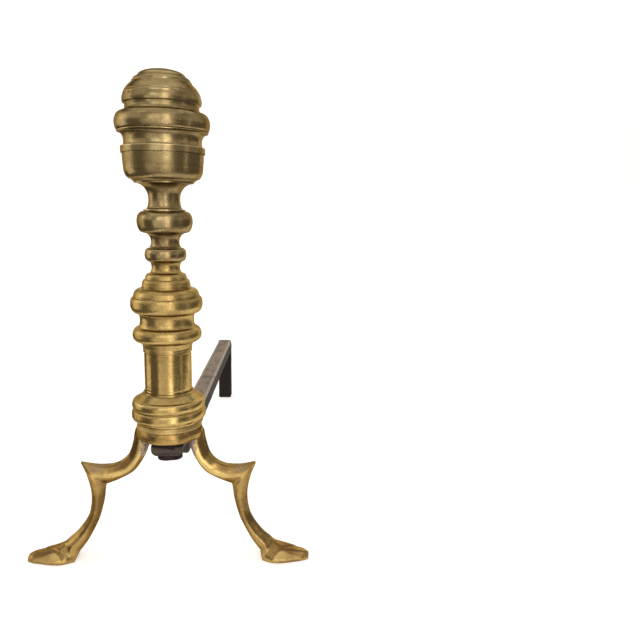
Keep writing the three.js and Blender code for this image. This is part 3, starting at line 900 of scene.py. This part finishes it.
@dataclass(frozen=True)
class Leg:
    """One cast leg: its root at the collar, a dished knee with a spur, a shin and a foot.

    The tables hold stations, in percent of the way from the collar to the toe and of the height.
    A row of ARM or SHIN is the outer edge, the inner edge, the thickness, the ridge's place and
    the rim's spread; a row of FOOT is the top, the sole and the width.
    """

    name: str
    node: str
    side: int
    reach: float = 125.5
    height: float = 111.3
    collar: float = 26.8
    splay: float = 5.3
    front: float = 8.0
    back: float = 6.0
    foot: float = 15.0
    dish: float = 2.2
    toe: float = 84.0
    cap: float = 95.0
    sole: float = 3.2
    toe_round: float = 0.95
    crease: tuple[Point, Point] = ((93.0, -14.0), (110.0, 3.0))
    crease_depth: float = 0.75
    cap_depth: float = 0.35
    wave: float = 0.28
    ripple: float = 0.1
    # Painted shade on the shin, in the crease over the toe and near the sole.
    shin_shade: float = 0.5
    crease_shade: float = 0.35
    sole_shade: float = 0.2
    # Painted highlight along the front ridge and on the toe cap.
    ridge_highlight: float = 1.6
    cap_highlight: float = 0.06
    crisp: float = 48.0

    ARM = ((-2.7, 108.4, -9.9, 100.4, 0.90, 0.40, 0.80), (2.9, 106.6, -10.1, 97.2, 0.95, 0.40, 0.80),
           (5.4, 96.2, -8.3, 91.8, 1.00, 0.38, 0.80), (10.0, 85.0, -4.0, 82.8, 1.00, 0.36, 0.85),
           (20.4, 78.0, 4.9, 72.0, 1.00, 0.34, 0.90), (34.9, 76.8, 18.1, 65.4, 1.00, 0.36, 1.00),
           (50.3, 81.0, 29.3, 61.8, 0.90, 0.44, 0.12))
    SHIN = ((51.0, 79.2, 29.7, 60.7, 0.90, 0.46, 0.10), (46.1, 68.2, 30.4, 56.5, 0.90, 0.48, 0.40),
            (43.0, 53.0, 32.0, 47.2, 0.86, 0.48, 0.60), (45.8, 36.7, 37.3, 31.6, 0.86, 0.50, 0.60),
            (55.1, 23.6, 46.6, 15.6, 0.90, 0.52, 0.60), (63.9, 16.6, 55.2, 5.2, 1.10, 0.56, 0.50))
    FOOT = ((67.7, 13.4, 58.3, 0.0, 0.74), (74.3, 10.4, 67.7, 0.0, 1.00),
            (81.9, 8.6, 77.9, 0.0, 0.95), (89.1, 7.3, 87.0, 0.0, 0.74),
            (95.2, 6.3, 94.2, 0.0, 0.58), (99.3, 4.6, 100.0, 0.0, 0.32))
    FOOT_SECTION = ((0.92, 0.45), (1.0, 0.05), (0.9, -0.4), (0.68, -0.76), (0.42, -0.98),
                    (0.16, -1.0), (0.0, -0.88), (0.0, 0.88), (0.45, 0.96))
    TIP_TURNS = (25.0, 45.0, 62.0, 76.0, 86.0)
    LEG_CRISP = (0.7, 0.0, 0.8, 0.0, 0.3, 0.0, 0.5, 0.5, 0.2)
    FOOT_CRISP = (0.0, 0.1, 0.0, 0.0, 0.8, 0.3, 0.7, 0.8, 0.6)

    def build(self) -> None:
        """Skins the sections from the root to the toe, and dresses the leg."""
        arm = self.curves(self.ARM, self.leg_section, 64, self.LEG_CRISP)
        shin = self.curves(self.SHIN, self.leg_section, 60, self.LEG_CRISP)
        foot = self.curves(self.FOOT, self.foot_section, 56, self.FOOT_CRISP)
        ankle = [[low.lerp(high, share) for low, high in zip(shin[-1], foot[0])]
                 for share in (0.33, 0.67)]
        rings = arm + shin + ankle + foot[:-2] + self.tip(foot[-3])
        flat = [point for ring in rings for point in ring]
        skin = Skin([self.placed(self.cast(point)) for point in flat],
                    joined(len(rings), len(rings[0])), [self.shade(point) for point in flat],
                    [self.rawness(point) for point in flat], self.crisp)
        skin.make(self.name, self.node, Slot.FOOT_BRASS)

    def placed(self, point: Vector) -> Vector:
        """A point of the leg, turned forward by the splay and set at its side of the column."""
        turned = Matrix.Rotation(-math.radians(self.splay), 3, "Z") @ point
        return AXIS + Vector((turned.x * self.side, turned.y, max(0.0, turned.z)))

    def pattern(self, out: float, up: float) -> Vector:
        """A point of the leg's pattern, given in percent, in millimetres."""
        across = self.collar + out / 100 * (self.reach - self.collar)
        return Vector((across, 0.0, up / 100 * self.height))

    def leg_section(self, row: tuple[float, ...]) -> list[Vector]:
        """The nine corners of the arm or shin at a station.

        Args:
            row: a row of ARM or SHIN.

        Returns:
            The corners, from the back rim over the dish and down the front.
        """
        outer, inner = self.pattern(*row[0:2]), self.pattern(*row[2:4])
        thickness, ridge, rim = row[4:]
        front, back = -self.front * thickness, self.back * thickness
        dish = self.dish * rim / (outer - inner).length
        corners = ((1.0, back * rim * 0.8), (1.0 - dish, (front + 2 * back) * rim * 0.2),
                   (0.97, front * rim * 0.5), (ridge * 0.5 + 0.46, front * 0.84), (ridge, front),
                   (ridge * 0.45, front * 0.74), (0.0, front * 0.1), (0.1, back * 0.9), (0.6, back))
        return [inner.lerp(outer, up) + Vector((0.0, along, 0.0)) for up, along in corners]

    def foot_section(self, row: tuple[float, ...]) -> list[Vector]:
        """The nine corners of the foot at a station, in the order of the leg's.

        Args:
            row: a row of FOOT.

        Returns:
            The corners.
        """
        top, sole = self.pattern(*row[0:2]), self.pattern(*row[2:4])
        half = self.foot * row[4]
        return [sole.lerp(top, up) + Vector((0.0, half * along, 0.0))
                for up, along in self.FOOT_SECTION]

    def curves(self, table: Iterable[tuple[float, ...]], section: Callable[..., list[Vector]],
               steps: int, crisp: tuple[float, ...]) -> list[list[Vector]]:
        """Rings of points along a table of stations.

        Args:
            table: the stations.
            section: the method that makes the corners at a station.
            steps: spans along the table.
            crisp: how sharp each corner is, from 0 to 1.

        Returns:
            The rings.
        """
        return [rounded_loop(ring, crisp, 6)
                for ring in spread([section(row) for row in table], steps)]

    def tip(self, last: list[Vector]) -> list[list[Vector]]:
        """Rings that round off the end of the toe, beyond its last full ring."""
        middle = sum(last, Vector()) / len(last)
        rings = []
        for turn in self.TIP_TURNS:
            out = Vector((self.toe_round * math.sin(math.radians(turn)), 0.0, 0.0))
            share = math.cos(math.radians(turn))
            rings.append([middle + (point - middle) * (0.35 + 0.65 * share) + out for point in last])
        return rings

    def cast(self, point: Vector) -> Vector:
        """A point moved by the unevenness of the casting and by the crease over the toe."""
        wave = noise.noise(point * 0.055 + Vector((0.0, 0.0, 9.0 * self.side))) * self.wave
        ripple = noise.noise(point * 0.19) * self.ripple
        moved = point + Vector((0.0, wave + ripple, (wave - ripple) * 0.5 if point.z > 3 else 0.0))
        if self.on_toe(point):
            off = self.from_crease(point)
            sink = self.crease_depth * hump(off, 0.8) + self.cap_depth / (1 + math.exp(-off / 0.7))
            moved.z -= sink * min(1.0, (point.z - self.sole) / 1.5)
        return moved

    def on_toe(self, point: Vector) -> bool:
        """Whether a point lies on the toe, above its sole."""
        return point.x > self.toe and point.z > self.sole

    def from_crease(self, point: Vector) -> float:
        """How far a point lies on the toe's side of the crease, seen from above."""
        (ax, ay), (bx, by) = self.crease
        length = math.hypot(bx - ax, by - ay)
        return ((point.x - ax) * (by - ay) - (point.y - ay) * (bx - ax)) / length

    def shade(self, point: Vector) -> float:
        """Hollowness: painted shade on shin, crease and sole; painted highlight on ridge and toe cap.
        """
        shade = 0.5 + noise.noise(point * 0.08) * 0.12
        off = self.from_crease(point)
        # Painted shade in the crease over the toe.
        if self.on_toe(point):
            shade += self.crease_shade * hump(off, 1.0)
        # Painted shade on the foot, darker towards the floor.
        if point.x > self.toe:
            shade += self.sole_shade * max(0.0, 1 - point.z / 3)
        # Painted shade around the middle height of the leg, mostly the shin.
        if point.x < self.cap:
            shade += self.shin_shade * hump(point.z - 46, 26)
        # Painted highlight on the toe cap beyond the crease.
        if point.x > self.cap and point.z > 3:
            shade -= self.cap_highlight * clamped(off / 1.5)
        # Painted highlight along the front ridge, fainter on the foot.
        above_foot = clamped((point.z - 16) / 10)
        ridge = min(0.4, max(0.0, -point.y / self.front - 0.7)) * (0.38 + 0.62 * above_foot)
        return clamped(shade - self.ridge_highlight * ridge)

    def rawness(self, point: Vector) -> float:
        """1 on the undressed skin at the inner side of the root, less in the knee's dish."""
        root = clamped((point.z - 91) / 5) * clamped((26.5 - point.x) / 2.5)
        dish = hump(point.x - 63, 11) * clamped((point.z - 79) / 3)
        return max(0.55 * dish, root) * min(1.0, 0.9 + noise.noise(point * 0.3))


LEGS = (Leg("right_leg_casting", "right_leg", 1), Leg("left_leg_casting", "left_leg", -1))


# ---- forged bar, nuts, rod


def box_outline(wide: float, deep: float, corner: float, per_corner: int = 5,
                per_side: int = 7) -> list[Point]:
    """A rectangle with rounded corners.

    Args:
        wide: half its width.
        deep: half its depth.
        corner: radius of its corners.
        per_corner: spans round a corner.
        per_side: spans along a side.

    Returns:
        Its points, as many for every rectangle.
    """
    centres = ((wide - corner, deep - corner), (corner - wide, deep - corner),
               (corner - wide, corner - deep), (wide - corner, corner - deep))
    arcs = []
    for turn, (x, y) in enumerate(centres):
        angles = [(turn + step / per_corner) * math.pi / 2 for step in range(per_corner + 1)]
        arcs.append([(x + corner * math.cos(angle), y + corner * math.sin(angle)) for angle in angles])
    points: list[Point] = []
    for arc, after in zip(arcs, arcs[1:] + arcs[:1]):
        (ax, ay), (bx, by) = arc[-1], after[0]
        points += arc
        points += list(zip(spaced(ax, bx, per_side), spaced(ay, by, per_side)))[:-1]
    return points


@dataclass(frozen=True)
class Station:
    """A section of the bar: its middle, the way its upper face looks, and its size."""

    back: float
    up: float
    lean: float
    width: float
    depth: float
    corner: float = 2.2

    def ring(self) -> list[Vector]:
        """Its rounded outline; lean is how many degrees its upper face has turned to the back."""
        lean = math.radians(self.lean)
        above = Vector((0.0, math.sin(lean), math.cos(lean)))
        middle = Vector((0.0, self.back, self.up))
        corner = min(self.corner, self.depth * 0.45, self.width * 0.45)
        outline = box_outline(self.width / 2, self.depth / 2, corner)
        return [middle + Vector((x, 0.0, 0.0)) + above * y for x, y in outline]


@dataclass(frozen=True)
class Bar:
    """The forged billet bar: a flat tongue, a drop into square stock, a bend and a rear leg.

    Lengths run back from the column's axis. wear and scale are how deep the hammer's facets and
    the scale go, and spare is what the ends keep for them.
    """

    name: str = "billet_bar_forging"
    length: float = 512.6
    width: float = 20.4
    depth: float = 20.0
    top: float = 97.0
    bend: float = 7.0
    tongue_top: float = 111.0
    tongue: float = 12.6
    tongue_width: float = 28.0
    tongue_front: float = 20.0
    tongue_back: float = 24.0
    tongue_corner: float = 4.8
    nose: float = 5.0
    joggle: float = 24.0
    foot_round: float = 2.4
    hammer_mark: Point = (252.0, 284.0)
    mark_depth: float = 0.7
    wear: float = 0.45
    scale: float = 0.16
    spare: float = 0.05
    crisp: float = 50.0

    def build(self) -> None:
        """Skins the sections from the tongue to the rear foot, hammers and dresses them."""
        stations = self.tongue_stations() + self.bar_stations() + self.rear_stations()
        rings = [station.ring() for station in stations]
        points, hollow, soot_and_shade = [], [], []
        for station, ring in zip(stations, rings):
            middle = Vector((0.0, station.back, station.up))
            reach = max((point - middle).length for point in ring)
            for point in ring:
                arris = ((point - middle).length / reach - 0.86) / 0.14
                points.append(AXIS + self.hammered(point, middle))
                hollow.append(0.55 - 0.4 * max(0.0, arris))
                soot_and_shade.append(self.soot_and_shade(point))
        skin = Skin(points, joined(len(rings), len(rings[0])), hollow, soot_and_shade, self.crisp)
        skin.make(self.name, "billet_bar", Slot.FORGED_IRON)

    def tongue_stations(self) -> list[Station]:
        """The rounded front of the tongue and its flat, as far as the drop."""
        middle = self.tongue_top - self.tongue / 2
        stations = []
        for turn in (8.0, *spaced(8.0, 90.0, 8)):
            angle = math.radians(turn)
            swell = math.sin(angle)
            back = self.nose * (1 - math.cos(angle)) - self.tongue_front - self.spare
            stations.append(Station(back, middle, 0.0, self.tongue_width * (0.55 + 0.45 * swell),
                                    self.tongue * (0.62 + 0.38 * swell), self.tongue_corner))
        stations += [Station(back, middle, 0.0, self.tongue_width, self.tongue, self.tongue_corner)
                     for back in spaced(stations[-1].back, self.tongue_back, 13)]
        return stations

    def bar_stations(self) -> list[Station]:
        """The drop into square stock, and the long run back."""
        high, low = self.tongue_top - self.tongue / 2, self.top - self.depth / 2
        stations = []
        for share in spaced(0.0, 1.0, 12):
            ease = share * share * (3 - 2 * share)
            slope = math.degrees(math.atan2((high - low) * 6 * share * (1 - share), self.joggle))
            stations.append(Station(self.tongue_back + self.joggle * share,
                                    high + (low - high) * ease, slope * 0.7,
                                    self.tongue_width + (self.width - self.tongue_width) * ease,
                                    self.tongue + (self.depth - self.tongue) * ease))
        run = spaced(self.tongue_back + self.joggle, self.length - self.depth - self.bend, 150)
        stations += [Station(back, low, 0.0, self.width, self.depth) for back in run]
        return stations

    def rear_stations(self) -> list[Station]:
        """The bend and the rear leg, down to its rounded foot."""
        heel = self.length - self.depth - self.bend
        stations = []
        for share in spaced(0.0, 1.0, 14):
            turn = math.radians(90 * share)
            outer = Vector((0.0, self.length - self.bend + self.bend * math.sin(turn),
                            self.top - self.bend + self.bend * math.cos(turn)))
            outer.y -= self.depth * (1 - share) * 0.35
            inner = Vector((0.0, heel + self.bend * min(1.0, share * 1.75),
                            self.top - self.depth - 2.5 * max(0.0, share - 0.3)))
            middle = (outer + inner) / 2
            stations.append(Station(middle.y, middle.z, 90 * share, self.width,
                                    (outer - inner).length * 0.98))
        back = self.length - self.depth / 2
        stations += [Station(back, up, 90.0, self.width, self.depth)
                     for up in spaced(stations[-1].up, self.foot_round, 26)]
        for turn in spaced(0.0, 90.0, 5):
            angle = math.radians(turn)
            inset = self.foot_round * (1 - math.cos(angle))
            stations.append(Station(back, self.foot_round * (1 - math.sin(angle)), 90.0,
                                    self.width - 2 * inset, self.depth - 2 * inset))
        return stations

    def hammered(self, point: Vector, middle: Vector) -> Vector:
        """A point moved inward by hammer facets, scale and the mark across the top."""
        inward = (middle - point).normalized()
        blows = 0.5 + 0.5 * noise.noise(Vector((point.x * 0.06, point.y * 0.05, point.z * 0.06)))
        depth = self.wear * blows + self.scale * (0.5 + 0.5 * noise.noise(point * 0.35))
        if point.z > self.top - 2:
            depth += self.mark_depth * hump(self.along_mark(point) - 0.5, 0.32)
        moved = point + inward * depth
        moved.y = min(moved.y, self.length - self.spare)
        return moved

    def along_mark(self, point: Vector) -> float:
        """Where a point lies along the hammer mark: 0 at its front end, 1 at its back end."""
        start, end = self.hammer_mark
        return (point.y - start) / (end - start)

    def soot_and_shade(self, point: Vector) -> float:
        """How black a point is: painted shade on rear leg, lower faces and tongue, and the hammer mark.
        """
        # Painted shade on the rear leg, below the bend.
        rear = clamped((point.y - self.length + self.depth + 10) / 6)
        rear *= clamped((self.top - 5 - point.z) / 8)
        # The tongue under the collar is blackened, soot and painted shade, with a painted shadow along
        # its top.
        front = 0.8 * clamped((self.tongue_back + self.joggle - point.y) / 20)
        front += 0.3 * clamped((point.z - self.tongue_top + 4) / 2)
        # Painted shade on the sides and underside, everything below the top face.
        below = 0.85 * clamped((self.top - 1.5 - point.z) / 2)
        mark = 0.45 * hump(self.along_mark(point) - 0.35, 0.3) if point.z > self.top - 2.5 else 0.0
        return max(rear, front, below, mark)


@dataclass(frozen=True)
class Nut:
    """A square nut with worn corners."""

    name: str
    node: str
    flat: float
    turn: float
    corner: float = 7.0
    worn: float = 2.2
    crisp: float = 50.0

    LEVELS = (0.0, 0.04, 0.1, 0.18, 0.35, 0.5, 0.65, 0.82, 0.9, 0.96, 1.0)

    def build(self) -> None:
        """Builds the nut where its CAD node stands, and dresses it."""
        low, high = node_span(self.node)
        turn = Matrix.Rotation(math.radians(self.turn), 3, "Z")
        points = []
        for share in self.LEVELS:
            edge = max(0.0, abs(share - 0.5) * 2 - 0.64) / 0.36
            half = self.flat / 2 - self.worn * (1 - math.sqrt(max(0.0, 1 - edge ** 2)))
            level = low.z + (high.z - low.z) * share
            outline = box_outline(half, half, min(self.corner, half * 0.9), 9, 6)
            ring = [AXIS + turn @ Vector((x, y, level)) for x, y in outline]
            points += [self.pitted(point) for point in ring]
        hollow = [0.35 if (point - AXIS).xy.length > self.flat * 0.6 else 0.55 for point in points]
        soot_and_shade = [0.35 + 0.2 * noise.noise(point * 0.2) for point in points]
        skin = Skin(points, joined(len(self.LEVELS), len(outline)), hollow, soot_and_shade, self.crisp)
        skin.make(self.name, self.node, Slot.RUSTED_IRON)

    def pitted(self, point: Vector) -> Vector:
        """A point moved towards the column's axis by rust."""
        inward = (AXIS + Vector((0.0, 0.0, point.z)) - point).normalized()
        return point + inward * (0.2 + 0.2 * noise.noise(point * 0.3))


NUTS = (Nut("square_rod_nut", "rod_nut", 22.0, 11.0), Nut("square_finial_nut", "finial_nut", 19.0, 0.0))


@dataclass(frozen=True)
class Rod:
    """The iron rod that draws the column together; its threaded end shows under the nut."""

    name: str = "threaded_rod"
    radius: float = 4.8
    pitch: float = 1.4
    thread: float = 22.0
    thread_depth: float = 0.45
    chamfer: float = 0.9
    facets: int = 40

    def build(self) -> None:
        """Builds the rod where its CAD node stands, and dresses it."""
        low, high = node_span("tension_rod")
        levels = [low.z, low.z + 0.35]
        while levels[-1] < low.z + self.thread:
            levels.append(levels[-1] + self.pitch / 4)
        levels.append(high.z)
        points = []
        for at, level in enumerate(levels):
            groove = self.thread_depth * (0.5 + 0.5 * math.cos(at * math.pi / 2))
            radius = self.radius - (groove if at else self.chamfer)
            for side in range(self.facets):
                turn = 2 * math.pi * side / self.facets
                points.append(AXIS + Vector((radius * math.cos(turn), radius * math.sin(turn), level)))
        faces = joined(len(levels), self.facets)
        skin = Skin(points, faces, [0.5] * len(points), [0.3] * len(points))
        skin.make(self.name, "tension_rod", Slot.RUSTED_IRON)


# ---- stage, lights, camera


@dataclass(frozen=True)
class Panel:
    """A soft light seen from the column over a span of bearings.

    A bearing is in degrees to the right of the camera, as seen in the picture.
    """

    name: str
    bearing: float
    span: float
    low: float
    high: float
    glow: float
    distance: float = 1500.0
    tint: Colour = (1.0, 0.96, 0.88)

    def build(self, ahead: float) -> None:
        """Hangs the panel upright, facing the column.

        Args:
            ahead: the camera's own bearing from straight in front, in degrees.
        """
        way = math.radians(ahead + self.bearing)
        width = 2 * self.distance * math.tan(math.radians(self.span / 2))
        middle = Vector((math.sin(way), -math.cos(way), 0.0)) * self.distance
        middle.z = (self.low + self.high) / 2
        hang_light(self.name, middle, Vector((0.0, 0.0, middle.z)), (width, self.high - self.low),
                   self.glow, self.tint)


def hang_light(name: str, place: Vector, aim: Vector, size: Point, glow: float, tint: Colour) -> None:
    """Adds a rectangular soft light.

    Args:
        name: its name.
        place: its middle, in millimetres from the column's foot.
        aim: what it faces, in millimetres from the column's foot.
        size: its width and height in millimetres.
        glow: how bright it looks.
        tint: its colour.
    """
    lamp = bpy.data.lights.new(name, "AREA")
    lamp.shape = "RECTANGLE"
    lamp.size, lamp.size_y = size[0] * MM, size[1] * MM
    lamp.energy = glow * math.pi * lamp.size * lamp.size_y
    lamp.color = tint
    panel = bpy.data.objects.new(name, lamp)
    here = (place + AXIS) * MM
    facing = (aim + AXIS) * MM - here
    panel.matrix_world = Matrix.Translation(here) @ facing.to_track_quat("-Z", "Y").to_matrix().to_4x4()
    bpy.context.scene.collection.objects.link(panel)


@dataclass(frozen=True)
class Studio:
    """A pale sweep, soft panels and a camera that stands where the photographer stood."""

    camera_place: Triple = (104.5, -554.3, 311.8)
    heading: float = 2.89
    pitch: float = -9.66
    roll: float = 0.99
    lens: float = 36.16
    sensor: float = 36.0
    paper: Colour = srgb(246, 245, 243)
    panels: tuple[Panel, ...] = (
        Panel("tall_window", 10.5, 19.0, -700.0, 1500.0, 2.6, tint=(1.0, 0.98, 0.92)),
        Panel("left_window", -19.0, 30.0, 400.0, 1400.0, 1.3, tint=(1.0, 0.98, 0.95)),
        Panel("left_low", -38.0, 24.0, -700.0, 400.0, 0.8),
        Panel("sash", -21.0, 2.4, -700.0, 400.0, 1.8),
        Panel("mullion", -8.5, 2.4, -700.0, 400.0, 1.8),
        Panel("between", -12.0, 22.0, -700.0, 400.0, 0.4, 1600.0),
        Panel("upper_wall", 5.0, 120.0, 620.0, 2300.0, 0.32, 1900.0),
        Panel("left_upper", -86.0, 62.0, 560.0, 2300.0, 0.5, 1900.0),
        Panel("right_upper", 94.0, 52.0, 560.0, 2300.0, 0.4, 1900.0),
        Panel("left_back", -142.0, 34.0, 100.0, 1500.0, 0.7, 1900.0),
        Panel("far_left_door", -112.0, 34.0, -300.0, 1100.0, 1.1),
        Panel("far_right_gap", 66.0, 5.0, -300.0, 1100.0, 0.9),
    )
    front: float = -323.0
    back: float = 1500.0
    bend: float = 500.0
    height: float = 1700.0
    margin: float = 90.0
    bend_steps: int = 12
    ceiling_glow: float = 0.78
    room_glow: float = 0.17
    paper_glow: float = 0.5

    def build(self) -> None:
        """Makes the sweep, the lights and the camera."""
        self.build_world()
        self.build_sweep()
        ahead = math.degrees(math.atan2(self.camera_place[0], -self.camera_place[1]))
        for panel in self.panels:
            panel.build(ahead)
        hang_light("ceiling", Vector((0.0, -300.0, 2200.0)), Vector((0.0, -250.0, 0.0)),
                   (3400.0, 3000.0), self.ceiling_glow, (1.0, 0.985, 0.96))
        self.build_camera()
        log.info("studio: %d panels, one ceiling, one sweep, one camera", len(self.panels))

    def build_world(self) -> None:
        """A dim, slightly warm room."""
        world = bpy.data.worlds.new("room")
        world.use_nodes = True
        backdrop = world.node_tree.nodes["Background"]
        backdrop.inputs["Color"].default_value = (1.0, 0.92, 0.8, 1.0)
        backdrop.inputs["Strength"].default_value = self.room_glow
        bpy.context.scene.world = world
        bpy.context.scene.view_settings.view_transform = "Standard"

    def build_sweep(self) -> None:
        """A floor that widens away from the camera and curves up into a backdrop."""
        outline = [(self.front, 0.0), (self.back - self.bend, 0.0)]
        for angle in spaced(0.0, math.pi / 2, self.bend_steps):
            outline.append((self.back - self.bend + self.bend * math.sin(angle),
                            self.bend - self.bend * math.cos(angle)))
        outline.append((self.back, self.height))
        half_view = math.degrees(math.atan(self.sensor / 2 / self.lens))
        points = []
        for along, up in outline:
            ahead = along - self.camera_place[1]
            for side in (-1, 1):
                reach = ahead * math.tan(math.radians(self.heading + side * half_view))
                across = self.camera_place[0] + reach + side * self.margin
                points.append((AXIS + Vector((across, along, up))) * MM)
        faces = [(at * 2, at * 2 + 1, at * 2 + 3, at * 2 + 2) for at in range(len(outline) - 1)]
        mesh = bpy.data.meshes.new("sweep")
        mesh.from_pydata(points, [], faces)
        mesh.shade_smooth()
        sweep = bpy.data.objects.new("sweep", mesh)
        bpy.context.scene.collection.objects.link(sweep)
        graph = Graph("sweep_paper")
        grain = graph.noise(graph.place(), 40.0, 2.0)
        tone = graph.mix(grain.between(0.3, 0.7) * 0.3, self.paper, srgb(240, 239, 236))
        mesh.materials.append(graph.finish(Base_Color=tone, Roughness=0.9, Emission_Color=tone,
                                           Emission_Strength=self.paper_glow))
        sweep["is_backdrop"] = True

    def build_camera(self) -> None:
        """The camera, turned by heading, then tipped by pitch, then rolled."""
        lens = bpy.data.cameras.new("camera")
        lens.sensor_width = self.sensor
        lens.lens = self.lens
        lens.clip_end = 20.0
        camera = bpy.data.objects.new("camera", lens)
        turn = Matrix.Rotation(-math.radians(self.heading), 4, "Z")
        tip = Matrix.Rotation(math.radians(90 + self.pitch), 4, "X")
        roll = Matrix.Rotation(math.radians(self.roll), 4, "Z")
        place = Matrix.Translation((Vector(self.camera_place) + AXIS) * MM)
        camera.matrix_world = place @ turn @ tip @ roll
        bpy.context.scene.collection.objects.link(camera)
        bpy.context.scene.camera = camera


def write_sizes() -> None:
    """Gathers the CAD box and the dressed box as plain lists, and does nothing more with them."""
    boxes = {"cad": CAD_BOX, "dressed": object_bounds()}
    plain = {name: [[float(number) for number in corner] for corner in pair]
             for name, pair in boxes.items()}


def main() -> None:
    """Builds the studio and every piece of the andiron, in order."""
    logging.basicConfig(level=logging.INFO, format="%(message)s")
    for part in (Studio(), COLLAR, *LEGS, *COLUMN, Bar(), *NUTS, Rod()):
        part.build()
    write_sizes()


if __name__ == "__main__":
    main()
